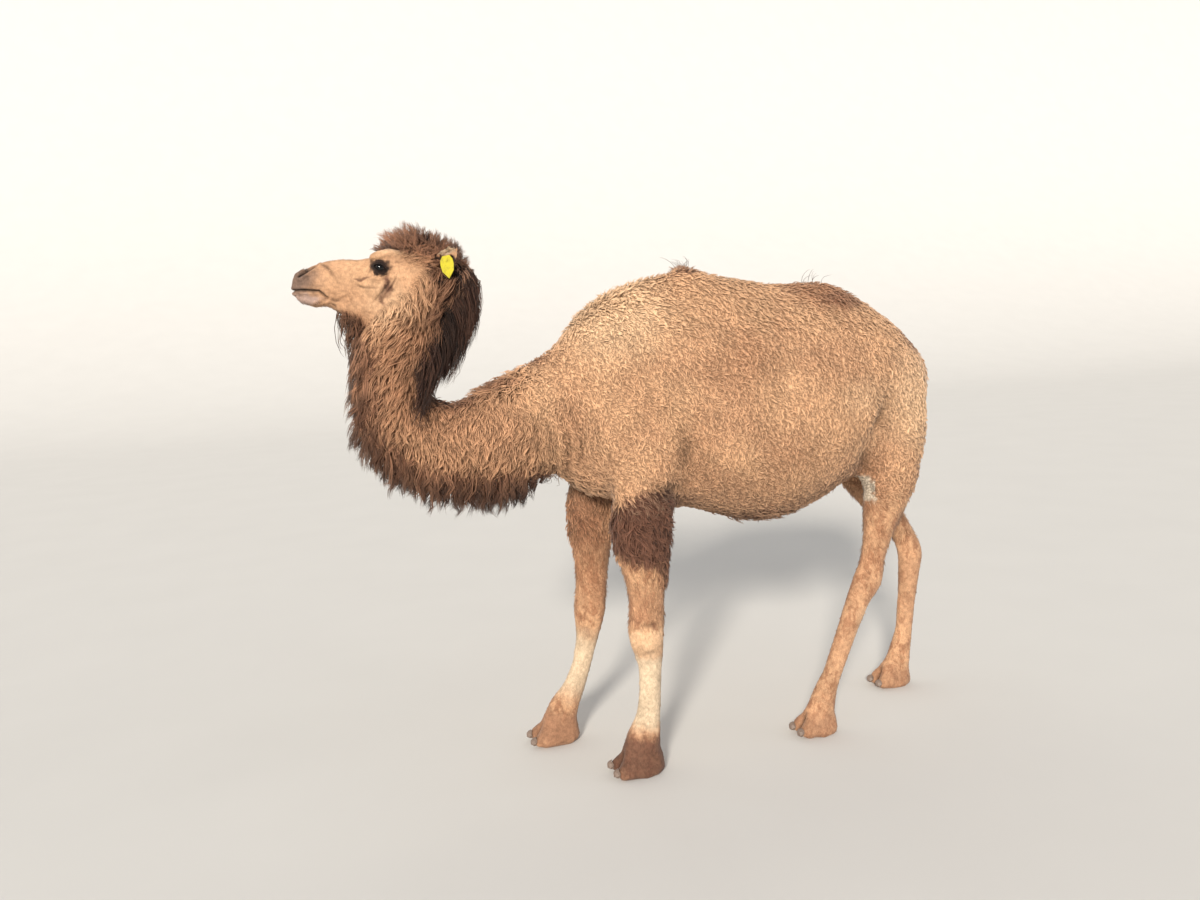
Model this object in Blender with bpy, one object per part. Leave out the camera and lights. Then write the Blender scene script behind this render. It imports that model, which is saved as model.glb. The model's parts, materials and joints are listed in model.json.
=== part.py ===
"""A standing camel with one long, low hump, life size, as a still model.

Metres, +Z up. The animal faces -X, so its left side is -Y. Flesh is lofted in one
piece from named stations, and then parted with thin cuts into head, neck, trunk,
humps and legs. Eyes, ears, toenails, tail, ear tag and the masses of long hair are
solids of their own, which meet the flesh with a small gap.
"""

import math

import bmesh
import bpy
from mathutils import Matrix, Vector

# ---------------------------------------------------------------- driving sizes
GAP = 0.0004             # clearance where the flesh is parted
SKIN_GAP = 0.0010        # clearance of the pieces laid against the flesh
VOXEL = 0.008            # grain of the fused flesh
FLESH_TRIANGLES = 3100   # flesh after thinning, before it is parted
LENS_CENTRE = Vector((-1.28, 0.0, 1.90))     # thinning keeps more round here
LENS_REACH = 0.30
LENS_GAIN = 1.3
SIDES = 28               # points round each lofted ring
RINGS = 40               # rings along each lofted body

SHOULDER_Y = 0.20        # forelegs, from the middle plane
HIP_Y = 0.16             # hind legs, from the middle plane
EYE_RADIUS = 0.0235
EYE_CENTRE = Vector((-1.222, 0.076, 1.955))
FOOT_LENGTH = {"fore": 0.210, "hind": 0.188}
FOOT_WIDTH = {"fore": 0.168, "hind": 0.144}

# Lengthwise stations: x, top, bottom, half width, and how far the width sits low.
TRUNK = (
    (-0.64, 1.600, 1.190, 0.120, 0.00),
    (-0.52, 1.775, 1.070, 0.210, 0.05),
    (-0.34, 1.880, 1.010, 0.265, 0.16),
    (-0.17, 1.925, 0.985, 0.295, 0.26),
    (-0.05, 1.958, 0.950, 0.312, 0.30),
    (0.05, 1.925, 0.920, 0.325, 0.28),
    (0.17, 1.898, 0.895, 0.335, 0.25),
    (0.34, 1.872, 0.897, 0.335, 0.25),
    (0.52, 1.880, 0.965, 0.310, 0.26),
    (0.62, 1.855, 1.030, 0.290, 0.24),
    (0.75, 1.775, 1.130, 0.255, 0.14),
    (0.87, 1.690, 1.190, 0.210, 0.05),
    (0.96, 1.605, 1.240, 0.150, 0.00),
    (1.025, 1.500, 1.310, 0.075, 0.00),
)
HEAD = (
    (-1.530, 1.912, 1.888, 0.020, 0.00),
    (-1.510, 1.938, 1.870, 0.038, 0.05),
    (-1.475, 1.964, 1.860, 0.048, 0.08),
    (-1.420, 1.990, 1.852, 0.053, 0.10),
    (-1.360, 2.000, 1.838, 0.055, 0.10),
    (-1.300, 1.998, 1.820, 0.062, 0.05),
    (-1.250, 2.004, 1.800, 0.076, 0.00),
    (-1.200, 2.028, 1.785, 0.090, -0.05),
    (-1.130, 2.048, 1.775, 0.095, -0.05),
    (-1.050, 2.042, 1.790, 0.094, 0.00),
    (-0.980, 2.005, 1.800, 0.088, 0.00),
    (-0.920, 1.950, 1.830, 0.068, 0.00),
    (-0.895, 1.905, 1.865, 0.030, 0.00),
)
JAW = (
    (-1.517, 1.876, 1.858, 0.018, 0.00),
    (-1.497, 1.876, 1.842, 0.034, 0.00),
    (-1.450, 1.872, 1.827, 0.041, 0.00),
    (-1.412, 1.866, 1.830, 0.042, 0.00),
    (-1.375, 1.874, 1.803, 0.044, 0.00),
    (-1.310, 1.884, 1.760, 0.054, 0.00),
    (-1.220, 1.900, 1.738, 0.070, 0.00),
    (-1.130, 1.900, 1.742, 0.079, 0.00),
    (-1.050, 1.900, 1.790, 0.078, 0.00),
    (-1.000, 1.880, 1.840, 0.045, 0.00),
)
# Limb stations: x, y, z, half depth fore and aft, half width across.
NECK = (
    (-0.42, 0.0, 1.450, 0.270, 0.195),
    (-0.62, 0.0, 1.395, 0.240, 0.175),
    (-0.80, 0.0, 1.335, 0.215, 0.155),
    (-0.97, 0.0, 1.310, 0.183, 0.140),
    (-1.10, 0.0, 1.338, 0.163, 0.130),
    (-1.185, 0.0, 1.425, 0.148, 0.124),
    (-1.205, 0.0, 1.520, 0.136, 0.118),
    (-1.195, 0.0, 1.620, 0.136, 0.114),
    (-1.165, 0.0, 1.720, 0.146, 0.110),
    (-1.120, 0.0, 1.810, 0.150, 0.104),
    (-1.070, 0.0, 1.890, 0.130, 0.095),
)
FORE_LEFT = (
    (-0.300, -0.175, 1.400, 0.160, 0.080),
    (-0.315, -0.190, 1.260, 0.150, 0.086),
    (-0.335, -0.200, 1.120, 0.132, 0.085),
    (-0.350, -0.205, 0.980, 0.124, 0.082),
    (-0.352, -0.205, 0.870, 0.119, 0.078),
    (-0.346, -0.203, 0.770, 0.097, 0.064),
    (-0.344, -0.200, 0.670, 0.084, 0.056),
    (-0.353, -0.200, 0.560, 0.077, 0.060),
    (-0.348, -0.200, 0.490, 0.067, 0.054),
    (-0.343, -0.200, 0.425, 0.052, 0.042),
    (-0.349, -0.200, 0.300, 0.048, 0.038),
    (-0.362, -0.200, 0.205, 0.056, 0.046),
    (-0.382, -0.200, 0.140, 0.070, 0.057),
    (-0.402, -0.200, 0.060, 0.078, 0.062),
)
FORE_RIGHT = (
    (-0.340, 0.175, 1.400, 0.160, 0.080),
    (-0.375, 0.190, 1.260, 0.150, 0.086),
    (-0.405, 0.200, 1.120, 0.130, 0.085),
    (-0.425, 0.205, 0.980, 0.120, 0.082),
    (-0.435, 0.205, 0.870, 0.110, 0.076),
    (-0.440, 0.203, 0.770, 0.092, 0.062),
    (-0.447, 0.200, 0.670, 0.080, 0.055),
    (-0.462, 0.200, 0.555, 0.074, 0.059),
    (-0.470, 0.200, 0.490, 0.064, 0.053),
    (-0.482, 0.200, 0.420, 0.051, 0.042),
    (-0.515, 0.200, 0.300, 0.047, 0.038),
    (-0.560, 0.200, 0.205, 0.054, 0.045),
    (-0.598, 0.200, 0.145, 0.066, 0.056),
    (-0.632, 0.200, 0.060, 0.076, 0.062),
)
HIND_LEFT = (
    (0.810, -0.115, 1.500, 0.130, 0.080),
    (0.800, -0.135, 1.370, 0.160, 0.102),
    (0.792, -0.150, 1.250, 0.165, 0.110),
    (0.775, -0.160, 1.140, 0.152, 0.105),
    (0.752, -0.166, 1.040, 0.132, 0.094),
    (0.728, -0.168, 0.950, 0.112, 0.080),
    (0.706, -0.163, 0.860, 0.091, 0.064),
    (0.686, -0.160, 0.770, 0.074, 0.052),
    (0.664, -0.160, 0.690, 0.068, 0.048),
    (0.643, -0.160, 0.620, 0.073, 0.050),
    (0.598, -0.160, 0.545, 0.056, 0.044),
    (0.527, -0.160, 0.380, 0.048, 0.037),
    (0.464, -0.160, 0.235, 0.046, 0.037),
    (0.430, -0.160, 0.165, 0.054, 0.046),
    (0.402, -0.160, 0.070, 0.062, 0.055),
)
HIND_RIGHT = (
    (0.810, 0.115, 1.500, 0.130, 0.080),
    (0.806, 0.135, 1.370, 0.160, 0.102),
    (0.808, 0.150, 1.250, 0.162, 0.108),
    (0.808, 0.158, 1.140, 0.148, 0.102),
    (0.822, 0.164, 1.040, 0.126, 0.090),
    (0.866, 0.166, 0.950, 0.104, 0.076),
    (0.928, 0.163, 0.860, 0.086, 0.062),
    (0.995, 0.160, 0.775, 0.074, 0.052),
    (1.050, 0.160, 0.700, 0.068, 0.048),
    (1.078, 0.160, 0.625, 0.066, 0.050),
    (1.070, 0.160, 0.540, 0.056, 0.044),
    (1.054, 0.160, 0.400, 0.048, 0.037),
    (1.040, 0.160, 0.270, 0.046, 0.036),
    (1.020, 0.160, 0.180, 0.052, 0.044),
    (0.990, 0.160, 0.070, 0.062, 0.054),
)
TAIL = (
    (0.955, 0.0, 1.560, 0.040, 0.042),
    (1.012, 0.0, 1.500, 0.038, 0.040),
    (1.036, 0.0, 1.420, 0.031, 0.035),
    (1.034, 0.0, 1.320, 0.026, 0.030),
    (1.020, 0.0, 1.220, 0.023, 0.027),
    (1.000, 0.0, 1.120, 0.021, 0.025),
)
TAIL_TUFT = (
    (1.000, 0.0, 1.118, 0.021, 0.025),
    (0.986, 0.0, 1.060, 0.032, 0.036),
    (0.968, 0.0, 0.990, 0.028, 0.030),
    (0.954, 0.0, 0.920, 0.010, 0.012),
)
# Masses of long hair, as limb stations: x, y, z, half depth, half width.
TOPKNOT = (
    (-1.208, 0.0, 2.032, 0.030, 0.048),
    (-1.165, 0.0, 2.045, 0.055, 0.070),
    (-1.110, 0.0, 2.046, 0.067, 0.078),
    (-1.050, 0.0, 2.030, 0.067, 0.084),
    (-0.990, 0.0, 1.992, 0.068, 0.084),
    (-0.948, 0.0, 1.940, 0.062, 0.076),
    (-0.930, 0.0, 1.895, 0.046, 0.062),
)
NAPE_MANE = (
    (-0.925, 0.0, 1.920, 0.050, 0.066),
    (-0.922, 0.0, 1.850, 0.070, 0.076),
    (-0.930, 0.0, 1.780, 0.078, 0.080),
    (-0.950, 0.0, 1.700, 0.080, 0.078),
    (-0.985, 0.0, 1.620, 0.074, 0.072),
    (-1.025, 0.0, 1.555, 0.062, 0.062),
    (-1.060, 0.0, 1.510, 0.040, 0.048),
)
THROAT_MANE = (
    (-1.362, 0.0, 1.800, 0.030, 0.034),
    (-1.330, 0.0, 1.740, 0.046, 0.056),
    (-1.300, 0.0, 1.640, 0.058, 0.076),
    (-1.312, 0.0, 1.520, 0.072, 0.088),
    (-1.316, 0.0, 1.420, 0.079, 0.092),
    (-1.283, 0.0, 1.310, 0.081, 0.096),
    (-1.218, 0.0, 1.225, 0.081, 0.100),
    (-1.120, 0.0, 1.165, 0.086, 0.104),
    (-1.000, 0.0, 1.130, 0.088, 0.108),
    (-0.880, 0.0, 1.112, 0.094, 0.106),
    (-0.795, 0.0, 1.125, 0.086, 0.096),
    (-0.730, 0.0, 1.175, 0.066, 0.076),
)

# Rounded masses fused into the flesh: centre, radii, tilt about Y in degrees.
MUSCLES = {
    "shoulder": ((-0.360, 0.190, 1.420), (0.150, 0.075, 0.290), 18.0),
    "upper_arm": ((-0.330, 0.205, 1.180), (0.145, 0.078, 0.150), 0.0),
    "haunch": ((0.820, 0.130, 1.430), (0.150, 0.095, 0.200), -14.0),
    "flank": ((0.640, 0.150, 1.250), (0.110, 0.100, 0.150), -20.0),
    "cheek": ((-1.120, 0.052, 1.835), (0.095, 0.040, 0.085), 20.0),
    "brow": ((-1.205, 0.066, 2.000), (0.062, 0.030, 0.024), -8.0),
    "nostril": ((-1.488, 0.026, 1.938), (0.040, 0.022, 0.022), -30.0),
    "cheekbone": ((-1.225, 0.064, 1.925), (0.060, 0.026, 0.022), -6.0),
}
MIDDLE_MASSES = {
    "brisket": ((-0.470, 0.0, 1.175), (0.150, 0.130, 0.110), 0.0),
    "chest_pad": ((-0.250, 0.0, 1.000), (0.110, 0.080, 0.060), 0.0),
    "udder": ((0.640, 0.0, 1.075), (0.100, 0.080, 0.075), 0.0),
    "upper_lip": ((-1.500, 0.0, 1.893), (0.032, 0.036, 0.028), -20.0),
}

# Thin cuts that part the flesh, each a line in side view (x, z).
CUTS = (
    ((-1.400, 1.5718), (-0.780, 2.0041)),       # head from neck
    ((-1.600, 1.8790), (-1.0150, 1.8400)),      # mouth, back to the cut behind the head
    ((-0.980, 1.560), (-1.480, 1.140)),         # neck, at its bend
    ((-0.800, 1.700), (-0.560, 1.000)),         # neck from trunk
    ((-0.800, 1.705), (1.150, 1.640)),          # humps from trunk
    ((0.350, 1.600), (0.365, 2.100)),           # front hump from rear hump
)
# Cuts across each leg. The top one stops at `inner` and at its hind end, where two
# upright cuts meet it.
LEG_CUTS = {
    "fore_left": (-0.100, ((-0.590, 1.060), (-0.185, 1.060)),
                  ((-0.480, 0.590), (-0.220, 0.590)), ((-0.600, 0.170), (-0.220, 0.170))),
    "fore_right": (0.100, ((-0.660, 1.060), (-0.258, 1.060)),
                   ((-0.600, 0.590), (-0.340, 0.590)), ((-0.800, 0.170), (-0.420, 0.170))),
    "hind_left": (-0.050, ((0.560, 0.990), (1.180, 1.130)),
                  ((0.500, 0.680), (0.800, 0.680)), ((0.220, 0.170), (0.560, 0.170))),
    "hind_right": (0.050, ((0.560, 0.990), (1.180, 1.130)),
                   ((0.900, 0.680), (1.220, 0.680)), ((0.780, 0.170), (1.200, 0.170))),
}
CUT_FOOT = 0.80          # how far down the upright cuts reach
REACH = 0.60             # past the flesh on either side
# A point near the middle of each parted piece.
FLESH_PARTS = {
    "head": (-1.200, 0.0, 1.940),
    "lower_jaw": (-1.270, 0.0, 1.800),
    "neck_upper": (-1.160, 0.0, 1.600),
    "neck_lower": (-0.900, 0.0, 1.330),
    "trunk": (0.280, 0.0, 1.350),
    "hump_front": (-0.080, 0.0, 1.800),
    "hump_rear": (0.600, 0.0, 1.760),
    "fore_leg_left_upper": (-0.350, -0.200, 0.830),
    "fore_leg_left_lower": (-0.350, -0.200, 0.380),
    "fore_foot_left": (-0.410, -0.200, 0.070),
    "fore_leg_right_upper": (-0.440, 0.200, 0.830),
    "fore_leg_right_lower": (-0.510, 0.200, 0.380),
    "fore_foot_right": (-0.650, 0.200, 0.070),
    "hind_leg_left_upper": (0.710, -0.160, 0.860),
    "hind_leg_left_lower": (0.540, -0.160, 0.420),
    "hind_foot_left": (0.370, -0.160, 0.070),
    "hind_leg_right_upper": (0.930, 0.160, 0.860),
    "hind_leg_right_lower": (1.060, 0.160, 0.420),
    "hind_foot_right": (0.960, 0.160, 0.070),
}
FEET = {                 # kind, centre x and y
    "fore_left": ("fore", -0.408, -SHOULDER_Y),
    "fore_right": ("fore", -0.642, SHOULDER_Y),
    "hind_left": ("hind", 0.386, -HIP_Y),
    "hind_right": ("hind", 0.966, HIP_Y),
}

EAR_BASE = Vector((-1.046, 0.078, 1.940))
EAR_TIP = Vector((-0.958, 0.160, 2.008))
EAR_FACES = Vector((-0.45, 0.85, 0.10))      # where its opening looks
EAR_WALL = 0.009
EAR_STATIONS = (         # reach along the ear, half width, depth of the cup
    (0.000, 0.020, 0.020),
    (0.020, 0.028, 0.024),
    (0.045, 0.036, 0.024),
    (0.070, 0.037, 0.021),
    (0.095, 0.031, 0.016),
    (0.115, 0.020, 0.010),
    (0.127, 0.006, 0.004),
)
TAG_REACH = 0.072        # along the ear, where the stud goes through
TAG_SINK = 0.021         # depth of the cup there
TAG_WIDTH = 0.056
TAG_HEIGHT = 0.080
TAG_THICKNESS = 0.0018
TAG_LIFT = 0.016         # of the plate off the floor of the cup
TAG_STUD = (             # radius, lift off the floor of the cup
    (0.011, -0.0075), (0.011, -0.0045), (0.0035, -0.0035),
    (0.0035, 0.0150), (0.0085, 0.0165), (0.0085, 0.0200),
)

COLOURS = {              # base colour, roughness
    "coat": ((0.50, 0.31, 0.17), 0.95),
    "long_hair": ((0.16, 0.08, 0.05), 0.95),
    "eye": ((0.02, 0.012, 0.01), 0.15),
    "toenail": ((0.30, 0.26, 0.22), 0.55),
    "tag_plastic": ((0.85, 0.78, 0.05), 0.45),
}


# ------------------------------------------------------------------ small tools
def material(name):
    found = bpy.data.materials.get(name)
    if found:
        return found
    made = bpy.data.materials.new(name)
    made.use_nodes = True
    colour, roughness = COLOURS[name]
    shader = made.node_tree.nodes["Principled BSDF"]
    shader.inputs["Base Color"].default_value = (*colour, 1.0)
    shader.inputs["Roughness"].default_value = roughness
    shader.inputs["Metallic"].default_value = 0.0
    return made


def place(name, mesh, finish):
    obj = bpy.data.objects.new(name, mesh)
    bpy.context.scene.collection.objects.link(obj)
    mesh.materials.clear()
    mesh.materials.append(material(finish))
    mesh.shade_smooth()
    mesh.set_sharp_from_angle(angle=math.radians(50))
    return obj


def evaluated(obj):
    """The object's mesh with its modifiers applied; the object is removed."""
    bpy.context.view_layer.update()
    graph = bpy.context.evaluated_depsgraph_get()
    mesh = bpy.data.meshes.new_from_object(obj.evaluated_get(graph))
    bpy.data.objects.remove(obj)
    return mesh


def smooth_rows(rows, count):
    """Catmull-Rom through the stations, spaced by their distance, as `count` rows."""
    rows = [Vector(row) for row in rows]
    marks = [0.0]
    for a, b in zip(rows, rows[1:]):
        marks.append(marks[-1] + math.sqrt((b - a).length))
    made = []
    for k in range(count):
        at = marks[-1] * k / (count - 1)
        i = max(n for n in range(len(rows) - 1) if marks[n] <= at + 1e-9)
        t = (at - marks[i]) / (marks[i + 1] - marks[i])
        before = rows[max(i - 1, 0)]
        after = rows[min(i + 2, len(rows) - 1)]
        a, b = rows[i], rows[i + 1]
        slope_a, slope_b = (b - before) * 0.5, (after - a) * 0.5
        made.append(
            a * (2 * t**3 - 3 * t**2 + 1) + slope_a * (t**3 - 2 * t**2 + t)
            + b * (3 * t**2 - 2 * t**3) + slope_b * (t**3 - t**2)
        )
    return made


def body_rings(stations, count=RINGS, sides=SIDES):
    """Upright rings for trunk, head and jaw."""
    rings = []
    for x, top, bottom, half_width, low in smooth_rows(stations, count):
        middle, half = (top + bottom) / 2, (top - bottom) / 2
        ring = []
        for k in range(sides):
            angle = math.tau * k / sides
            drop = math.cos(angle)
            across = half_width * math.sin(angle) * (1 + low * drop)
            ring.append(Vector((x, across, middle - half * drop)))
        rings.append(ring)
    return rings


def limb_rings(stations, count=RINGS, sides=SIDES, ridges=0, depth=0.0):
    """Rings square to the path of a limb, with `ridges` locks of hair if asked."""
    rows = smooth_rows(stations, count)
    rings = []
    for i, row in enumerate(rows):
        centre = Vector(row[:3])
        along = Vector(rows[min(i + 1, count - 1)][:3]) - Vector(rows[max(i - 1, 0)][:3])
        along.normalize()
        across = Vector((0.0, 1.0, 0.0))
        fore = across.cross(along).normalized()
        across = along.cross(fore).normalized()
        ring = []
        for k in range(sides):
            angle = math.tau * k / sides
            swell = 1 + depth * math.sin(ridges * angle + 5.0 * i / count)
            ring.append(
                centre + fore * (row[3] * swell * math.cos(angle))
                + across * (row[4] * swell * math.sin(angle))
            )
        rings.append(ring)
    return rings


def add_rings(bm, rings):
    """Bridges the rings and closes both ends, faces out."""
    layers = [[bm.verts.new(point) for point in ring] for ring in rings]
    faces = []
    for below, above in zip(layers, layers[1:]):
        for k, vert in enumerate(below):
            after = (k + 1) % len(below)
            faces.append(bm.faces.new((vert, below[after], above[after], above[k])))
    faces.append(bm.faces.new(layers[0][::-1]))
    faces.append(bm.faces.new(layers[-1]))
    bmesh.ops.recalc_face_normals(bm, faces=faces)


def add_ball(bm, centre, radii, tilt=0.0, segments=20):
    matrix = (
        Matrix.Translation(centre)
        @ Matrix.Rotation(math.radians(tilt), 4, "Y")
        @ Matrix.Diagonal((*radii, 1.0))
    )
    bmesh.ops.create_uvsphere(
        bm, u_segments=segments, v_segments=segments // 2, radius=1.0, matrix=matrix
    )


def mesh_of(bm, name):
    mesh = bpy.data.meshes.new(name)
    bm.to_mesh(mesh)
    bm.free()
    return mesh


def block_mesh(name, corners, y_range):
    """A prism whose side view is `corners` (x, z), between two y planes."""
    bm = bmesh.new()
    near = [bm.verts.new((x, y_range[0], z)) for x, z in corners]
    far = [bm.verts.new((x, y_range[1], z)) for x, z in corners]
    bm.faces.new(near)
    bm.faces.new(far[::-1])
    for k in range(len(corners)):
        after = (k + 1) % len(corners)
        bm.faces.new((near[k], far[k], far[after], near[after]))
    bmesh.ops.recalc_face_normals(bm, faces=bm.faces[:])
    return mesh_of(bm, name)


def with_boolean(mesh, cutters, operation, finish="coat"):
    """The mesh after a Boolean with each cutter mesh in turn."""
    obj = place("work", mesh, finish)
    helpers = []
    for cutter in cutters:
        helper = place("cutter", cutter, finish)
        helper.hide_render = True
        helper.display_type = "WIRE"
        helpers.append(helper)
        step = obj.modifiers.new("Boolean", "BOOLEAN")
        step.operation = operation
        step.solver = "EXACT"
        step.object = helper
    made = evaluated(obj)
    for helper in helpers:
        bpy.data.objects.remove(helper)
    return made


# ------------------------------------------------------------------------ flesh
def foot_balls(bm, kind, x, y):
    """Pad, heel and two toes, which the floor plane later cuts flat."""
    length, width = FOOT_LENGTH[kind], FOOT_WIDTH[kind]
    add_ball(bm, (x + 0.06 * length, y, 0.020), (0.44 * length, 0.47 * width, 0.052))
    add_ball(bm, (x + 0.26 * length, y, 0.045), (0.24 * length, 0.36 * width, 0.060))
    add_ball(bm, (x, y, 0.082), (0.34 * length, 0.31 * width, 0.050), tilt=-38.0)
    for side in (-1, 1):
        toe = (x - 0.20 * length, y + side * 0.240 * width, 0.036)
        add_ball(bm, toe, (0.31 * length, 0.225 * width, 0.040), tilt=-20.0)


def rough_flesh():
    """Every loft and muscle in one mesh, still overlapping."""
    bm = bmesh.new()
    for stations in (TRUNK, HEAD, JAW):
        add_rings(bm, body_rings(stations))
    for stations in (NECK, FORE_LEFT, FORE_RIGHT, HIND_LEFT, HIND_RIGHT):
        add_rings(bm, limb_rings(stations))
    for name, (centre, radii, tilt) in MUSCLES.items():
        for side in (-1, 1):
            x = centre[0]
            if name == "upper_arm" and side > 0:
                x -= 0.08            # the right foreleg is set forward
            add_ball(bm, (x, side * centre[1], centre[2]), radii, tilt)
    for centre, radii, tilt in MIDDLE_MASSES.values():
        add_ball(bm, centre, radii, tilt)
    for kind, x, y in FEET.values():
        foot_balls(bm, kind, x, y)
    return mesh_of(bm, "flesh")


def mark_softened(obj):
    """Vertex group of the body and haunches, where the flesh is smoothed most."""
    soften = obj.vertex_groups.new(name="soften")
    for vert in obj.data.vertices:
        x, _, z = vert.co
        body = min(max((z - 0.95) / 0.12, 0.0), 1.0) * min(max((x + 1.05) / 0.10, 0.0), 1.0)
        soften.add([vert.index], body, "REPLACE")


def enlarge_face(mesh, undo=False):
    """Magnifies the mesh round the face, so that thinning keeps more of it."""
    edge = LENS_REACH * (1 + LENS_GAIN)
    for vert in mesh.vertices:
        off = vert.co - LENS_CENTRE
        reach = max(off.length, 1e-6)
        if undo:
            back = reach / (1 + LENS_GAIN) if reach < edge else reach - LENS_GAIN * LENS_REACH
            vert.co = LENS_CENTRE + off * (back / reach)
        else:
            gain = LENS_GAIN * min(reach, LENS_REACH)
            vert.co = LENS_CENTRE + off * (1 + gain / reach)


def fused_flesh():
    """The flesh as one closed skin, thinned, with its soles flat at z = 0."""
    obj = place("flesh", rough_flesh(), "coat")
    fuse = obj.modifiers.new("Fuse", "REMESH")
    fuse.mode = "VOXEL"
    fuse.voxel_size = VOXEL
    obj = place("flesh", evaluated(obj), "coat")
    mark_softened(obj)
    even = obj.modifiers.new("Even", "SMOOTH")
    even.factor, even.iterations = 0.5, 4
    soften = obj.modifiers.new("Soften", "SMOOTH")
    soften.factor, soften.iterations, soften.vertex_group = 0.5, 60, "soften"
    mesh = evaluated(obj)
    enlarge_face(mesh)
    obj = place("flesh", mesh, "coat")
    thin = obj.modifiers.new("Thin", "DECIMATE")
    thin.ratio = FLESH_TRIANGLES / (2 * len(mesh.polygons))
    thin.use_collapse_triangulate = True
    mesh = evaluated(obj)
    enlarge_face(mesh, undo=True)
    floor = block_mesh("floor", ((-2, -0.3), (2, -0.3), (2, 0.0), (-2, 0.0)), (-1, 1))
    return with_boolean(mesh, [floor], "DIFFERENCE")


def grown(mesh, by):
    """A copy of the mesh pushed out along its normals."""
    bm = bmesh.new()
    bm.from_mesh(mesh)
    bm.normal_update()
    moves = [vert.normal * by * min(vert.calc_shell_factor(), 2.0) for vert in bm.verts]
    for vert, move in zip(bm.verts, moves):
        vert.co += move
    return mesh_of(bm, "grown")


def slab(line_start, line_end, y_range=(-REACH, REACH)):
    """A thin cutter along a line in side view."""
    start, end = Vector(line_start), Vector(line_end)
    along = (end - start).normalized()
    off = Vector((-along.y, along.x)) * GAP / 2
    corners = (start - off, end - off, end + off, start + off)
    return block_mesh("slab", [tuple(c) for c in corners], y_range)


def islands(mesh):
    """Splits a mesh into its connected pieces, each as (centre, mesh)."""
    bm = bmesh.new()
    bm.from_mesh(mesh)
    left, pieces = set(bm.verts), []
    while left:
        seed = left.pop()
        piece, edge = {seed}, [seed]
        while edge:
            vert = edge.pop()
            for link in vert.link_edges:
                other = link.other_vert(vert)
                if other not in piece:
                    piece.add(other)
                    edge.append(other)
        left -= piece
        pieces.append(piece)
    made = []
    for piece in pieces:
        part = bm.copy()
        keep = {vert.index for vert in piece}
        drop = [vert for vert in part.verts if vert.index not in keep]
        bmesh.ops.delete(part, geom=drop, context="VERTS")
        low = Vector(min(v.co[i] for v in piece) for i in range(3))
        high = Vector(max(v.co[i] for v in piece) for i in range(3))
        made.append(((low + high) / 2, mesh_of(part, "piece")))
    bm.free()
    return made


def leg_slabs():
    """The cuts through the legs, as cutter meshes."""
    made = []
    for inner, top, *lower in LEG_CUTS.values():
        outer = math.copysign(REACH, inner)
        made.append(slab(*top, sorted((inner, outer))))
        (x_fore, z_fore), (x_hind, z_hind) = top
        corners = ((x_fore, CUT_FOOT), (x_hind, CUT_FOOT), (x_hind, z_hind), (x_fore, z_fore))
        wall = sorted((inner, inner - math.copysign(GAP, inner)))
        made.append(block_mesh("slab", corners, wall))
        made.append(slab((x_hind, CUT_FOOT), (x_hind, z_hind), sorted((inner, outer))))
        made += [slab(*line, sorted((0.0, outer))) for line in lower]
    return made


def part_flesh(flesh):
    """Cuts the flesh, hollows the eye sockets and names each piece."""
    cutters = [slab(*cut) for cut in CUTS] + leg_slabs()
    for side in (-1, 1):
        bm = bmesh.new()
        add_ball(bm, mirrored(EYE_CENTRE, side), [EYE_RADIUS + GAP] * 3, segments=12)
        cutters.append(mesh_of(bm, "socket"))
    pieces = islands(with_boolean(flesh, cutters, "DIFFERENCE"))
    left = dict(FLESH_PARTS)
    for centre, mesh in sorted(pieces, key=lambda p: -len(p[1].vertices)):
        name = min(left, key=lambda n: (Vector(left[n]) - centre).length)
        del left[name]
        place(name, mesh, "coat")


# --------------------------------------------------------- pieces on the flesh
def mirrored(point, side):
    return Vector((point[0], side * point[1], point[2]))


def trimmed(mesh, cutters):
    """The mesh cut back by each cutter, keeping the largest piece left."""
    bm = bmesh.new()
    bm.from_mesh(mesh)
    bmesh.ops.triangulate(bm, faces=bm.faces[:])
    cut = with_boolean(
        mesh_of(bm, "trimmed"), [cutter.copy() for cutter in cutters], "DIFFERENCE"
    )
    return max(islands(cut), key=lambda piece: len(piece[1].vertices))[1]


def hair_mass(stations, ridges, count=16, sides=22):
    """A mass of long hair: a loft with the ridges of its locks."""
    bm = bmesh.new()
    add_rings(bm, limb_rings(stations, count, sides, ridges, 0.05))
    return mesh_of(bm, "hair")


def ear_frame(side):
    """Base, and the directions along, across and out of the ear's opening."""
    base, tip = mirrored(EAR_BASE, side), mirrored(EAR_TIP, side)
    along = (tip - base).normalized()
    faces = mirrored(EAR_FACES, side)
    faces = (faces - along * faces.dot(along)).normalized()
    return base, along, along.cross(faces).normalized(), faces


def ear(side):
    """A cupped leaf, hollow on the side it faces."""
    base, along, across, faces = ear_frame(side)
    rings = []
    for reach, half_width, cup in EAR_STATIONS:
        centre = base + along * reach
        outer, inner = [], []
        for k in range(-3, 4):
            angle = k / 3 * math.radians(80)
            spread = across * (half_width * math.sin(angle))
            outer.append(centre + spread - faces * (cup * math.cos(angle)))
            wall = EAR_WALL * (1 - 0.5 * abs(k) / 3)
            inner.append(outer[-1] + faces * wall * (1.5 if reach < 0.02 else 1.0))
        rings.append(outer + inner[::-1])
    bm = bmesh.new()
    add_rings(bm, rings)
    return mesh_of(bm, "ear")


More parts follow.
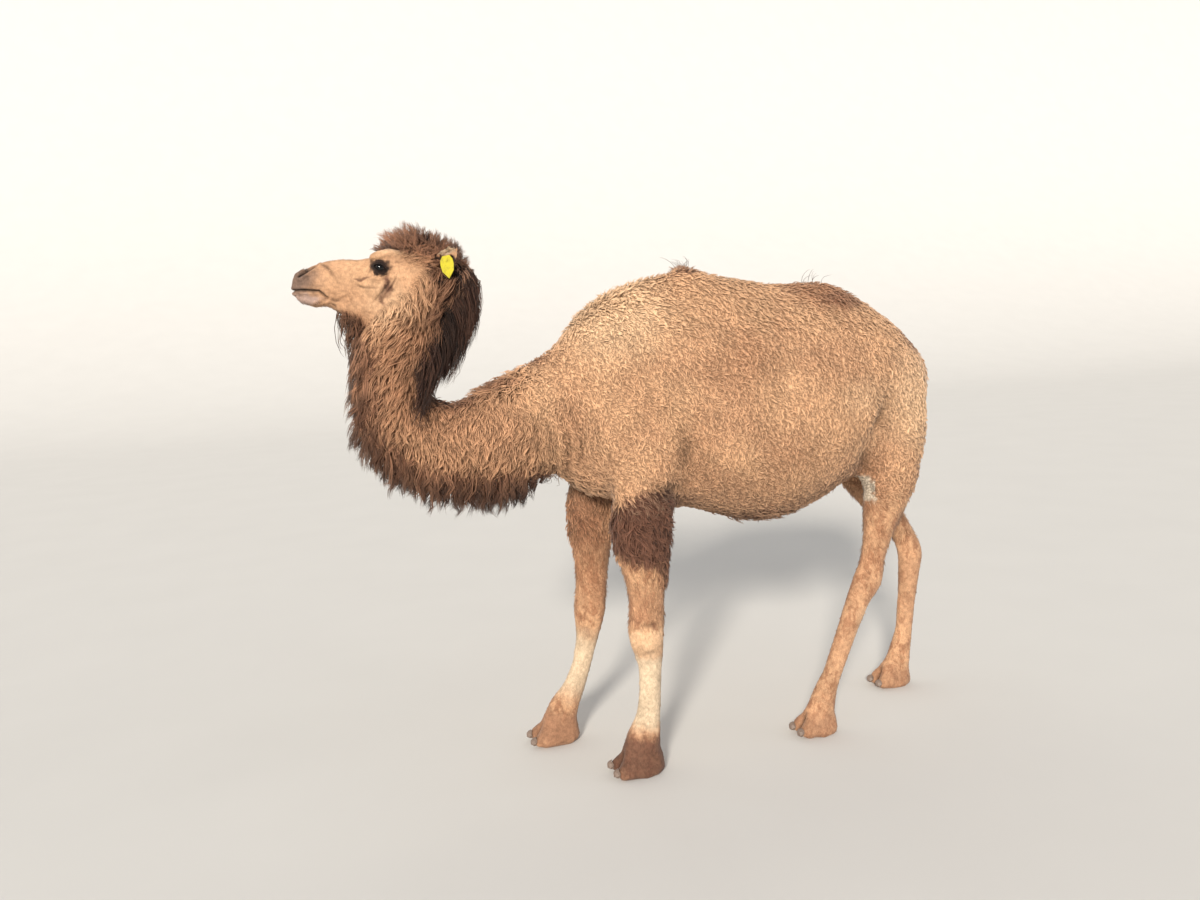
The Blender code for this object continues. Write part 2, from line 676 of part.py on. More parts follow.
def ear_tag(grow=0.0):
    """A shield-shaped plate with a stud through the ear and a button behind."""
    base, along, across, faces = ear_frame(-1)
    centre = base + along * TAG_REACH - faces * TAG_SINK
    turn = Matrix.Identity(4)
    down = Vector((0.12, 0.0, -1.0))
    down = (down - faces * down.dot(faces)).normalized()
    wide = down.cross(faces)
    for i, axis in enumerate((wide, down, faces)):
        for j in range(3):
            turn[j][i] = axis[j]
    turn = Matrix.Translation(centre) @ turn
    half_width, height, thick = TAG_WIDTH / 2, TAG_HEIGHT, TAG_THICKNESS
    profile = (
        (-0.55, -0.16), (0.55, -0.16), (0.92, 0.02), (1.0, 0.22),
        (0.84, 0.52), (0.0, 0.84), (-0.84, 0.52), (-1.0, 0.22), (-0.92, 0.02),
    )
    bm = bmesh.new()
    plate = [
        [Vector((half_width * u, height * v, lift)) for u, v in profile]
        for lift in (TAG_LIFT, TAG_LIFT + thick)
    ]
    add_rings(bm, plate)
    plate_mesh = mesh_of(bm, "plate")
    bm = bmesh.new()
    rings = []
    for radius, lift in TAG_STUD:
        rings.append([
            Vector(((radius + grow) * math.cos(a), (radius + grow) * math.sin(a), lift))
            for a in (math.tau * k / 12 for k in range(12))
        ])
    add_rings(bm, rings)
    made = with_boolean(plate_mesh, [mesh_of(bm, "stud")], "UNION")
    made.transform(turn)
    return made


def toenails():
    """Two nails on the front of each foot, as (name, mesh)."""
    made = []
    for foot, (kind, x, y) in FEET.items():
        length, width = FOOT_LENGTH[kind], FOOT_WIDTH[kind]
        end, hand = foot.split("_")
        for place_name, side in (("outer", math.copysign(1, y)), ("inner", -math.copysign(1, y))):
            bm = bmesh.new()
            centre = (x - 0.465 * length, y + side * 0.240 * width, 0.029)
            add_ball(bm, centre, (0.020, 0.019, 0.017), tilt=-30.0, segments=8)
            made.append((f"toenail_{end}_{hand}_{place_name}", mesh_of(bm, "nail")))
    return made


def settle():
    """Centres the model on the origin and stands it on z = 0."""
    bpy.context.view_layer.update()
    objects = [obj for obj in bpy.data.objects if obj.type == "MESH"]
    points = [vert.co for obj in objects for vert in obj.data.vertices]
    low = [min(point[i] for point in points) for i in range(3)]
    high = [max(point[i] for point in points) for i in range(3)]
    shift = Matrix.Translation((-(low[0] + high[0]) / 2, -(low[1] + high[1]) / 2, -low[2]))
    for obj in objects:
        obj.data.transform(shift)


def main():
    for obj in list(bpy.data.objects):
        bpy.data.objects.remove(obj)
    flesh = fused_flesh()
    around = [grown(flesh, SKIN_GAP)]        # what each added piece is cut back by
    part_flesh(flesh)

    tag = ear_tag()
    for side, hand in ((-1, "left"), (1, "right")):
        cutters = around[:1]
        if side < 0:
            cutters = cutters + [ear_tag(grow=GAP)]
        made = trimmed(ear(side), cutters)
        place(f"ear_{hand}", made, "coat")
        around.append(grown(made, SKIN_GAP))
    place("ear_tag_left", tag, "tag_plastic")
    around.append(grown(tag, SKIN_GAP))

    for name, stations, ridges, count in (
        ("topknot", TOPKNOT, 6, 10),
        ("nape_mane", NAPE_MANE, 6, 10),
        ("throat_mane", THROAT_MANE, 6, 17),
        ("tail", TAIL, 0, 8),
        ("tail_tuft", TAIL_TUFT, 5, 8),
    ):
        sides = 16 if ridges > 5 else 10
        made = trimmed(hair_mass(stations, ridges, count, sides), around)
        place(name, made, "coat" if name == "tail" else "long_hair")
        around.append(grown(made, SKIN_GAP))

    for side, hand in ((-1, "left"), (1, "right")):
        bm = bmesh.new()
        add_ball(bm, mirrored(EYE_CENTRE, side), [EYE_RADIUS] * 3, segments=12)
        place(f"eye_{hand}", mesh_of(bm, "eye"), "eye")
    for name, mesh in toenails():
        place(name, trimmed(mesh, around[:1]), "toenail")
    settle()


main()
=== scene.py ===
import json
import math

import bpy
import numpy as np
from mathutils import Matrix, Vector
from mathutils.bvhtree import BVHTree
from mathutils.kdtree import KDTree

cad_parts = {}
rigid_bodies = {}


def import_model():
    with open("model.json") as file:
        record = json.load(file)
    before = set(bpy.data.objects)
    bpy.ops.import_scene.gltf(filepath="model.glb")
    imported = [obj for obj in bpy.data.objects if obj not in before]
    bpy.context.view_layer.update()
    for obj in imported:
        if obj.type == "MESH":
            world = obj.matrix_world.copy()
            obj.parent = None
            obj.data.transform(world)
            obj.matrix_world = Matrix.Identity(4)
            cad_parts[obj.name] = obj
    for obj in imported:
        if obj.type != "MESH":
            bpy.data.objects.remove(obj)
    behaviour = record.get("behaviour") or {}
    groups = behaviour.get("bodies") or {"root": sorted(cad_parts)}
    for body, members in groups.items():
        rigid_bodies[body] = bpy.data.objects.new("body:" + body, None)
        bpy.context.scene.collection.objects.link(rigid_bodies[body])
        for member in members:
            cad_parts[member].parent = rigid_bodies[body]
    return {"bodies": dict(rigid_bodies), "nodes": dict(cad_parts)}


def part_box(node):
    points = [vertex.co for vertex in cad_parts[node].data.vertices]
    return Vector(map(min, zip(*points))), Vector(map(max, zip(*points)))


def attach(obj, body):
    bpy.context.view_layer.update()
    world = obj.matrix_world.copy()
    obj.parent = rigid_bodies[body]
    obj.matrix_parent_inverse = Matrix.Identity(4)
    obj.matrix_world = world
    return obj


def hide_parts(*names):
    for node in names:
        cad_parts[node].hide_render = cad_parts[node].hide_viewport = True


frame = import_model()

# what a new file may still hold is cleared, leaving only the solids and their bodies
for leftover in list(bpy.context.scene.objects):
    if leftover not in frame["nodes"].values() and leftover not in frame["bodies"].values():
        bpy.data.objects.remove(leftover)
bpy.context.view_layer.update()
dice = np.random.default_rng(20)

sides = ("left", "right")
legParts = [f"{end}_{part}" for end in ("fore", "hind") for part in (
    "leg_left_upper", "leg_left_lower", "foot_left", "leg_right_upper", "leg_right_lower", "foot_right")]
bodyParts = ["trunk", "hump_front", "hump_rear", "neck_lower", "neck_upper", "head", "lower_jaw", "tail"]
earParts = ["ear_left", "ear_right"]
fleshParts = bodyParts + legParts + earParts


# small tools

def middleOf(node):
    low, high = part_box(node)
    return (low + high) / 2


def placeIn(node, across, over, up):
    # a point inside a node's box, by share of its length, width and height
    shares = (across, over, up)
    return Vector([low + (high - low) * share for low, high, share in zip(*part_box(node), shares)])


def flat(data, key, width, kind=np.float32):
    values = np.empty(len(data) * width, kind)
    data.foreach_get(key, values)
    return values.reshape(-1, width) if width > 1 else values


def placesOf(thing):
    return flat(thing.data.vertices, "co", 3).astype(float)


def normalsOf(thing):
    return flat(thing.data.vertices, "normal", 3).astype(float)


def edgesOf(thing):
    return flat(thing.data.edges, "vertices", 2, np.int32)


def unit(vectors):
    return vectors / np.maximum(np.linalg.norm(vectors, axis=-1, keepdims=True), 1e-9)


def dots(a, b):
    return np.sum(a * b, axis=-1, keepdims=True)


def easeStep(low, high, values):
    share = np.clip((values - low) / (high - low), 0.0, 1.0)
    return share * share * (3 - 2 * share)


def bell(values, width, middle=0.0):
    return np.exp(-((values - middle) / width) ** 2)


def nearness(points, centre, radii, edge=0.4):
    # 1 inside an ellipsoid, easing to 0 at its surface
    away = np.linalg.norm((points - np.array(centre)) / np.array(radii), axis=1)
    return 1 - easeStep(1 - edge, 1.0, away)


def awayFromPath(points, path):
    # distance to a bent line, and how far along it the nearest place is
    best = np.full(len(points), 1e9)
    share = np.zeros(len(points))
    for step, (start, end) in enumerate(zip(path[:-1], path[1:])):
        start, run = np.array(start), np.array(end) - np.array(start)
        along = np.clip((points - start) @ run / (run @ run), 0.0, 1.0)
        away = np.linalg.norm(points - start - along[:, None] * run, axis=1)
        closer = away < best
        best = np.where(closer, away, best)
        share = np.where(closer, (step + along) / (len(path) - 1), share)
    return best, share


def softNoise(points, size, seed):
    # smooth uneven field from -1 to 1, one lump to each size
    cell = np.asarray(points, float) / size
    base = np.floor(cell).astype(np.int64)
    part = cell - base
    part = part * part * (3 - 2 * part)
    total = np.zeros(len(cell))
    for corner in np.ndindex(2, 2, 2):
        spot = base + corner
        code = (spot[:, 0] * 73856093) ^ (spot[:, 1] * 19349663) ^ (spot[:, 2] * 83492791) ^ (seed * 2654435)
        code = (code ^ (code >> 13)) * 1274126177 & 0xFFFFFFFF
        code = (code ^ (code >> 16)) & 0xFFFF
        weight = np.prod(np.where(corner, part, 1 - part), axis=1)
        total += weight * (code / 32767.5 - 1)
    return total


def setMode(mode):
    bpy.ops.object.mode_set(mode=mode)


def pick(*things):
    if bpy.context.object and bpy.context.object.mode != "OBJECT":
        setMode("OBJECT")
    bpy.ops.object.select_all(action="DESELECT")
    for thing in things:
        thing.select_set(True)
    bpy.context.view_layer.objects.active = things[0]


def applyModifier(thing, kind, **values):
    pick(thing)
    modifier = thing.modifiers.new(kind.lower(), kind)
    for key, value in values.items():
        setattr(modifier, key, value)
    bpy.ops.object.modifier_apply(modifier=modifier.name)


def selectPoints(thing, test):
    # leaves edit mode on, with only the corners that pass the test selected
    pick(thing)
    setMode("EDIT")
    bpy.ops.mesh.select_mode(type="VERT")
    bpy.ops.mesh.select_all(action="DESELECT")
    setMode("OBJECT")
    thing.data.vertices.foreach_set("select", test(flat(thing.data.vertices, "co", 3)))
    setMode("EDIT")
    bpy.ops.mesh.select_mode(type="EDGE")


def treeOf(node):
    mesh = frame["nodes"][node].data
    corners = [vertex.co for vertex in mesh.vertices]
    return BVHTree.FromPolygons(corners, [list(face.vertices) for face in mesh.polygons])


def copyOfNodes(name, nodes):
    # the solids' own faces, joined in one new piece with their corners merged
    copies = []
    for node in nodes:
        copied = bpy.data.objects.new(name, frame["nodes"][node].data.copy())
        bpy.context.scene.collection.objects.link(copied)
        copies.append(copied)
    pick(*copies)
    if len(copies) > 1:
        bpy.ops.object.join()
    setMode("EDIT")
    bpy.ops.mesh.select_all(action="SELECT")
    bpy.ops.mesh.remove_doubles(threshold=0.00005)
    bpy.ops.mesh.customdata_custom_splitnormals_clear()
    setMode("OBJECT")
    made = bpy.context.object
    made.name = name
    return made


def moveVertices(thing, places):
    thing.data.vertices.foreach_set("co", np.asarray(places, np.float32).ravel())
    thing.data.update()


def neighbourMean(values, edges, rounds, hold=0.5):
    # values at the vertices, each blended with those next to it
    ends = np.concatenate([edges[:, 0], edges[:, 1]])
    others = np.concatenate([edges[:, 1], edges[:, 0]])
    count = np.maximum(np.bincount(ends, minlength=len(values)), 1)
    values = np.array(values, float)
    columns = values.reshape(len(values), -1)
    for again in range(rounds):
        for column in range(columns.shape[1]):
            total = np.bincount(ends, weights=columns[others, column], minlength=len(values))
            columns[:, column] = hold * columns[:, column] + (1 - hold) * total / count
    return columns.reshape(values.shape)


# materials: shared groups first

def newGroup(name, inputs, outputs):
    group = bpy.data.node_groups.new(name, "ShaderNodeTree")
    for label, kind, value in inputs:
        socket = group.interface.new_socket(name=label, in_out="INPUT", socket_type=kind)
        if value is not None:
            socket.default_value = value
    for label, kind in outputs:
        group.interface.new_socket(name=label, in_out="OUTPUT", socket_type=kind)
    start = group.nodes.new("NodeGroupInput")
    end = group.nodes.new("NodeGroupOutput")
    return group, start, end


def addNode(tree, kind, **values):
    node = tree.nodes.new(kind)
    for key, value in values.items():
        setattr(node, key, value)
    return node


def feed(tree, socket, value):
    # a link if the value comes from another node
    if isinstance(value, bpy.types.NodeSocket):
        tree.links.new(value, socket)
    elif value is not None:
        socket.default_value = value


def mathNode(tree, operation, first, second=None, third=None):
    node = addNode(tree, "ShaderNodeMath", operation=operation)
    for socket, value in zip(node.inputs, (first, second, third)):
        feed(tree, socket, value)
    return node.outputs[0]


def vectorNode(tree, operation, first, second=None):
    node = addNode(tree, "ShaderNodeVectorMath", operation=operation)
    for socket, value in zip(node.inputs, (first, second)):
        feed(tree, socket, value)
    return node.outputs["Value"] if operation in ("LENGTH", "DOT_PRODUCT") else node.outputs["Vector"]


def mixColours(tree, share, first, second, blend="MIX"):
    node = addNode(tree, "ShaderNodeMix", data_type="RGBA", blend_type=blend)
    for number, value in ((0, share), (6, first), (7, second)):
        feed(tree, node.inputs[number], (*value, 1.0) if isinstance(value, tuple) else value)
    return node.outputs[2]


def rangeNode(tree, value, fromLow, fromHigh, toLow, toHigh):
    node = addNode(tree, "ShaderNodeMapRange", interpolation_type="SMOOTHSTEP")
    tree.links.new(value, node.inputs["Value"])
    for key, number in (("From Min", fromLow), ("From Max", fromHigh), ("To Min", toLow), ("To Max", toHigh)):
        node.inputs[key].default_value = number
    return node.outputs["Result"]


def noiseNode(tree, vector, scale, detail=2.0, roughness=0.5):
    node = addNode(tree, "ShaderNodeTexNoise")
    tree.links.new(vector, node.inputs["Vector"])
    node.inputs["Scale"].default_value = scale
    node.inputs["Detail"].default_value = detail
    node.inputs["Roughness"].default_value = roughness
    return node.outputs["Fac"]


def attributeNode(tree, name, kind="Fac"):
    return addNode(tree, "ShaderNodeAttribute", attribute_name=name).outputs[kind]


def objectPlace(tree):
    return addNode(tree, "ShaderNodeTexCoord").outputs["Object"]


def pushedAbout(tree, place, scale, reach):
    noise = addNode(tree, "ShaderNodeTexNoise")
    tree.links.new(place, noise.inputs["Vector"])
    noise.inputs["Scale"].default_value = scale
    shift = vectorNode(tree, "SUBTRACT", noise.outputs["Color"], (0.5, 0.5, 0.5))
    shift = vectorNode(tree, "MULTIPLY", shift, (reach, reach, reach))
    return vectorNode(tree, "ADD", place, shift)


def shaded(tree, colour, shade):
    # a colour made lighter or darker by a number
    grey = addNode(tree, "ShaderNodeCombineColor")
    for channel in range(3):
        tree.links.new(shade, grey.inputs[channel])
    return mixColours(tree, 1.0, colour, grey.outputs[0], "MULTIPLY")


coatColours = {
    "tan": (0.59, 0.345, 0.195),
    "paleTan": (0.74, 0.49, 0.30),
    "redTan": (0.46, 0.24, 0.135),
    "midBrown": (0.34, 0.165, 0.088),
    "brown": (0.22, 0.100, 0.056),
    "dark": (0.125, 0.056, 0.036),
    "blackBrown": (0.030, 0.016, 0.012),
    "cream": (0.60, 0.46, 0.315),
    "greyBrown": (0.185, 0.118, 0.088),
    "lip": (0.44, 0.30, 0.245),
    "orange": (0.44, 0.25, 0.145),
    "footBrown": (0.31, 0.160, 0.092),
    "leather": (0.60, 0.50, 0.385),
}

# patches of colour: where, how far each way, soft edge, colour and strength
bodyMarkings = {
    "neckShade": (placeIn("neck_lower", 0.35, 0.5, 0.50), (0.46, 0.40, 0.36), 0.7, "midBrown", 0.50),
    "neckHigh": (placeIn("neck_upper", 0.55, 0.5, 0.50), (0.30, 0.30, 0.36), 0.6, "midBrown", 0.85),
    "neckBack": (placeIn("neck_upper", 0.90, 0.5, 0.66), (0.19, 0.26, 0.30), 0.6, "brown", 0.9),
    "neckFront": (placeIn("neck_upper", 0.0, 0.5, 0.25), (0.16, 0.18, 0.38), 0.7, "brown", 0.75),
    "napeEnd": (Vector((-0.880, 0.07, 1.555)), (0.062, 0.30, 0.100), 0.5, "blackBrown", 0.95),
    "neckCrestLow": (placeIn("neck_lower", 0.43, 0.5, 0.77), (0.100, 0.30, 0.055), 0.45, "brown", 0.95),
    "neckCrestMiddle": (placeIn("neck_lower", 0.63, 0.5, 0.90), (0.120, 0.30, 0.055), 0.5, "brown", 0.90),
    "neckCrestBack": (placeIn("neck_lower", 0.84, 0.5, 1.06), (0.100, 0.30, 0.050), 0.6, "midBrown", 0.90),
    "chestUnder": (placeIn("throat_mane", 0.55, 0.5, 0.10), (0.40, 0.18, 0.17), 0.8, "brown", 0.9),
    "shoulderRed": (placeIn("trunk", 0.10, 0.5, 0.55), (0.10, 0.40, 0.30), 0.9, "midBrown", 0.45),
    "haunchPale": (placeIn("trunk", 0.90, 0.5, 0.58), (0.24, 0.60, 0.34), 0.7, "paleTan", 0.85),
    "flankPale": (placeIn("trunk", 0.74, 0.5, 0.62), (0.20, 0.60, 0.13), 0.8, "paleTan", 0.6),
    "humpFrontPale": (placeIn("hump_front", 0.20, 0.5, 0.40), (0.30, 0.60, 0.30), 0.7, "paleTan", 0.85),
    "humpPeak": (placeIn("hump_front", 0.545, 0.5, 1.0), (0.075, 0.16, 0.070), 0.5, "brown", 0.9),
    "sideRed": (placeIn("trunk", 0.46, 0.5, 0.82), (0.27, 0.60, 0.21), 0.8, "midBrown", 0.70),
    "sideRedLow": (placeIn("trunk", 0.35, 0.5, 0.40), (0.13, 0.60, 0.22), 0.8, "midBrown", 0.60),
    "bellySideRed": (placeIn("trunk", 0.56, 0.5, 0.36), (0.22, 0.60, 0.13), 0.8, "midBrown", 0.55),
    "humpRearDark": (placeIn("hump_rear", 0.34, 0.5, 0.85), (0.26, 0.60, 0.135), 0.5, "midBrown", 0.95),
    "humpRearDeep": (placeIn("hump_rear", 0.38, 0.5, 0.60), (0.13, 0.60, 0.055), 0.6, "brown", 0.9),
    "rumpDark": (placeIn("hump_rear", 0.99, 0.5, -0.15), (0.090, 0.50, 0.085), 0.5, "brown", 0.85),
    "bellyEdge": (placeIn("trunk", 0.48, 0.5, -0.02), (0.52, 0.60, 0.115), 0.6, "brown", 0.8),
    # painted shade in the fold where the elbow meets the chest
    "elbowDark": (placeIn("trunk", 0.285, 0.14, 0.24), (0.075, 0.10, 0.06), 0.8, "dark", 0.7),
    "stifleRed": (placeIn("hind_leg_left_upper", 0.14, 0.5, 0.98), (0.12, 0.20, 0.20), 0.8, "midBrown", 0.65),
}
legMarkings = {          # each on one side only
    "forearmDark": (placeIn("fore_leg_left_upper", 0.53, 0.5, 0.80), (0.20, 0.30, 0.15), 0.2, "dark", 1.0),
    "forearmDarkLow": (placeIn("fore_leg_left_upper", 0.8, 0.5, 0.52), (0.09, 0.2, 0.12), 0.5, "dark", 0.95),
    "farForearm": (placeIn("fore_leg_right_upper", 0.26, 0.5, 0.84), (0.15, 0.20, 0.24), 0.7, "brown", 0.75),
    "farLegTan": (placeIn("fore_leg_right_upper", 0.35, 0.5, 0.35), (0.14, 0.2, 0.26), 0.8, "midBrown", 0.5),
    "kneeAbove": (placeIn("fore_leg_left_upper", 0.42, 0.5, 0.16), (0.20, 0.14, 0.12), 0.8, "redTan", 0.6),
    "kneePale": (placeIn("fore_leg_left_lower", 0.45, 0.5, 0.84), (0.13, 0.13, 0.075), 0.5, "paleTan", 0.75),
    "kneeSpot": (placeIn("fore_leg_left_lower", 0.62, 0.0, 0.985), (0.03, 0.14, 0.026), 0.8, "brown", 0.75),
    "kneeSpotFore": (placeIn("fore_leg_left_lower", 0.20, 0.2, 1.04), (0.04, 0.14, 0.02), 0.8, "brown", 0.7),
    "cannonNear": (placeIn("fore_leg_left_lower", 0.5, 0.5, 0.36), (0.16, 0.13, 0.185), 0.35, "cream", 1.0),
    "cannonFar": (placeIn("fore_leg_right_lower", 0.5, 0.5, 0.36), (0.20, 0.13, 0.200), 0.6, "cream", 0.95),
    "cannonBack": (placeIn("hind_leg_left_lower", 0.66, 0.5, 0.42), (0.07, 0.08, 0.20), 0.9, "cream", 0.7),
    "hindOrange": (placeIn("hind_leg_left_lower", 0.30, 0.5, 0.40), (0.16, 0.12, 0.34), 0.7, "orange", 0.3),
    "farOrange": (placeIn("hind_leg_right_lower", 0.5, 0.5, 0.45), (0.16, 0.12, 0.34), 0.7, "orange", 0.4),
    "hockNear": (placeIn("hind_leg_left_lower", 0.80, 0.5, 0.83), (0.09, 0.09, 0.10), 0.9, "midBrown", 0.5),
    "stiflePad": (placeIn("hind_leg_left_upper", 0.13, 0.5, 0.84), (0.032, 0.4, 0.064), 0.25, "leather", 1.0),
    "stifleRim": (placeIn("hind_leg_left_upper", 0.18, 0.2, 0.66), (0.046, 0.20, 0.03), 0.8, "midBrown", 0.6),
    "footNear": (placeIn("fore_foot_left", 0.5, 0.5, 0.30), (0.18, 0.14, 0.150), 0.4, "dark", 0.92),
    "footFar": (placeIn("fore_foot_right", 0.45, 0.5, 0.30), (0.19, 0.14, 0.13), 0.5, "footBrown", 0.95),
    "footHindNear": (placeIn("hind_foot_left", 0.45, 0.5, 0.20), (0.17, 0.13, 0.10), 0.7, "footBrown", 0.8),
    "footHindFar": (placeIn("hind_foot_right", 0.45, 0.5, 0.20), (0.17, 0.13, 0.10), 0.7, "footBrown", 0.8),
}
eyeAt = middleOf("eye_left")
headMarkings = {
    "cheekPale": (placeIn("lower_jaw", 0.60, 0.0, 0.86), (0.15, 0.11, 0.11), 0.9, "paleTan", 0.6),
    "browPale": (placeIn("head", 0.55, 0.2, 0.86), (0.09, 0.06, 0.035), 0.8, "paleTan", 0.7),
    "jawBrown": (placeIn("lower_jaw", 0.45, 0.5, 0.28), (0.22, 0.13, 0.075), 0.9, "midBrown", 0.7),
    "noseRed": (placeIn("head", 0.12, 0.5, 0.88), (0.120, 0.09, 0.045), 0.6, "brown", 0.85),
    "crown": (placeIn("head", 0.78, 0.5, 0.86), (0.140, 0.24, 0.105), 0.6, "midBrown", 0.85),
    "muzzleGrey": (placeIn("head", 0.00, 0.5, 0.42), (0.150, 0.12, 0.082), 0.6, "greyBrown", 1.0),
    "lowerLip": (placeIn("lower_jaw", 0.06, 0.5, 0.95), (0.100, 0.090, 0.030), 0.5, "lip", 1.0),
    "chinBrown": (placeIn("lower_jaw", 0.12, 0.5, 0.74), (0.10, 0.09, 0.030), 0.8, "greyBrown", 0.9),
    "eyeDark": (eyeAt + Vector((-0.006, -0.010, 0.002)), (0.050, 0.045, 0.029), 0.40, "blackBrown", 1.0),
    "eyeFront": (eyeAt + Vector((-0.036, -0.010, 0.022)), (0.026, 0.045, 0.016), 0.6, "blackBrown", 0.95),
    "tearTrack": (eyeAt + Vector((0.018, 0.0, -0.056)), (0.024, 0.06, 0.046), 0.6, "dark", 0.95),
    "tearTrackLow": (eyeAt + Vector((0.000, 0.0, -0.105)), (0.018, 0.06, 0.046), 0.7, "dark", 0.8),
    # painted shade along the crease under the eye
    "underEyeLine": (eyeAt + Vector((-0.066, 0.0, -0.030)), (0.040, 0.06, 0.010), 0.7, "dark", 0.8),
    "earPale": (placeIn("ear_left", 0.6, 0.5, 1.0), (0.060, 0.08, 0.030), 0.6, "cream", 0.9),
    # painted shade in the ear's hollow, with the tag's shadow on and around the ear
    "earDark": (placeIn("ear_left", 0.50, 0.5, 0.36), (0.064, 0.12, 0.040), 0.35, "blackBrown", 1.0),
    "earFront": (placeIn("ear_left", -0.10, 0.5, 0.38), (0.026, 0.30, 0.036), 0.5, "blackBrown", 0.95),
    # painted shadow under the ear
    "earUnder": (placeIn("ear_left", 0.65, 0.5, -0.12), (0.050, 0.30, 0.030), 0.6, "blackBrown", 0.85),
}


def markingsGroup():
    # colour of the coat at a place on the body
    inputs, outputs = [("Place", "NodeSocketVector", None)], [("Colour", "NodeSocketColor")]
    group, start, end = newGroup("coatMarkings", inputs, outputs)
    loose = pushedAbout(group, start.outputs["Place"], 26.0, 0.06)
    split = addNode(group, "ShaderNodeSeparateXYZ")
    group.links.new(loose, split.inputs[0])
    folded = addNode(group, "ShaderNodeCombineXYZ")
    group.links.new(split.outputs["X"], folded.inputs["X"])
    group.links.new(mathNode(group, "ABSOLUTE", split.outputs["Y"]), folded.inputs["Y"])
    group.links.new(split.outputs["Z"], folded.inputs["Z"])
    broad = rangeNode(group, noiseNode(group, start.outputs["Place"], 5.0, 3.0), 0.35, 0.7, 0.0, 0.5)
    colour = mixColours(group, broad, coatColours["tan"], coatColours["redTan"])
    streaked = noiseNode(group, vectorNode(group, "MULTIPLY", loose, (1.0, 1.0, 0.4)), 34.0, 4.0, 0.65)
    onLegs = rangeNode(group, split.outputs["Z"], 0.90, 1.10, 0.95, 0.0)
    streaks = mathNode(group, "MULTIPLY", rangeNode(group, streaked, 0.42, 0.62, 0.0, 1.0), onLegs)
    colour = mixColours(group, streaks, colour, coatColours["midBrown"])
    for marks, bothSides in ((bodyMarkings, True), (legMarkings, False), (headMarkings, True)):
        for centre, radii, edge, tint, strength in marks.values():
            if bothSides:
                centre = Vector((centre.x, abs(centre.y), centre.z))
            seen = folded.outputs[0] if bothSides else loose
            away = vectorNode(group, "SUBTRACT", seen, tuple(centre))
            away = vectorNode(group, "LENGTH", vectorNode(group, "DIVIDE", away, radii))
            share = rangeNode(group, away, 1 - edge, 1.0, strength, 0.0)
            colour = mixColours(group, share, colour, coatColours[tint])
    group.links.new(colour, end.inputs["Colour"])
    return group


def mottleGroup():
    # uneven lightness, broad and fine, over any coat
    group, start, end = newGroup("coatMottle", [
        ("Colour", "NodeSocketColor", (0.5, 0.3, 0.2, 1)), ("Place", "NodeSocketVector", None),
        ("Broad", "NodeSocketFloat", 0.2), ("Fine", "NodeSocketFloat", 0.2)], [("Colour", "NodeSocketColor")])
    broad = rangeNode(group, noiseNode(group, start.outputs["Place"], 9.0, 3.0, 0.6), 0.3, 0.7, -1.0, 1.0)
    fine = rangeNode(group, noiseNode(group, start.outputs["Place"], 70.0, 2.0, 0.6), 0.3, 0.7, -1.0, 1.0)
    total = mathNode(group, "MULTIPLY", broad, start.outputs["Broad"])
    total = mathNode(group, "MULTIPLY_ADD", fine, start.outputs["Fine"], total)
    total = mathNode(group, "ADD", total, 1.0)
    group.links.new(shaded(group, start.outputs["Colour"], total), end.inputs["Colour"])
    return group


print("groups")
coatMarkings = markingsGroup()
coatMottle = mottleGroup()


def newMaterial(name, roughness, **values):
    made = bpy.data.materials.new(name)
    made.use_nodes = True
    shader = made.node_tree.nodes["Principled BSDF"]
    shader.inputs["Roughness"].default_value = roughness
    for key, value in values.items():
        shader.inputs[key.replace("_", " ")].default_value = value
    return made, made.node_tree, shader


def placeGroup(tree, group, **inputs):
    node = addNode(tree, "ShaderNodeGroup", node_tree=group)
    for key, value in inputs.items():
        feed(tree, node.inputs[key], value)
    return node


def bumpFrom(tree, height, strength, distance):
    bump = addNode(tree, "ShaderNodeBump")
    tree.links.new(height, bump.inputs["Height"])
    bump.inputs["Strength"].default_value = strength
    bump.inputs["Distance"].default_value = distance
    return bump.outputs["Normal"]


def markedColour(tree, place):
    # the markings at a place, browner where a mane grows
    colour = placeGroup(tree, coatMarkings, Place=place).outputs["Colour"]
    mane = mathNode(tree, "MULTIPLY", attributeNode(tree, "maneShade"), 0.85)
    return mixColours(tree, mane, colour, coatColours["brown"])


def creased(tree, shade, depth):
    dip = mathNode(tree, "MULTIPLY_ADD", attributeNode(tree, "creaseShade"), -depth, 1.0)
    return mathNode(tree, "MULTIPLY", shade, dip)


def coatMaterial(name, rootShade, tipShade, tipTint, tintShare, ownColour=None, toneSpread=0.22):
    # a lock is darker at its root, paler at its tip, and a little unlike its neighbours; the darker root is
    # painted shade deep in the coat
    sheen = {"Sheen_Weight": 0.12, "Sheen_Roughness": 0.5}
    made, tree, shader = newMaterial(name, 0.85, Specular_IOR_Level=0.18, **sheen)
    root = attributeNode(tree, "rootPlace", "Vector")
    along = attributeNode(tree, "alongLock")
    if ownColour:
        blotches = rangeNode(tree, noiseNode(tree, root, 14.0, 2.0), 0.4, 0.6, 0.0, 1.0)
        colour = mixColours(tree, blotches, *ownColour)
    else:
        colour = markedColour(tree, root)
    colour = placeGroup(tree, coatMottle, Colour=colour, Place=root, Broad=0.12, Fine=0.10).outputs["Colour"]
    tipShare = mathNode(tree, "MULTIPLY", mathNode(tree, "POWER", along, 2.0), tintShare)
    colour = mixColours(tree, tipShare, colour, tipTint)
    shade = creased(tree, rangeNode(tree, along, 0.0, 0.8, rootShade, tipShade), 0.60)
    ownTone = mathNode(tree, "MULTIPLY_ADD", attributeNode(tree, "lockTone"), toneSpread, 1.0)
    shade = mathNode(tree, "MULTIPLY", shade, ownTone)
    tree.links.new(shaded(tree, colour, shade), shader.inputs["Base Color"])
    return made


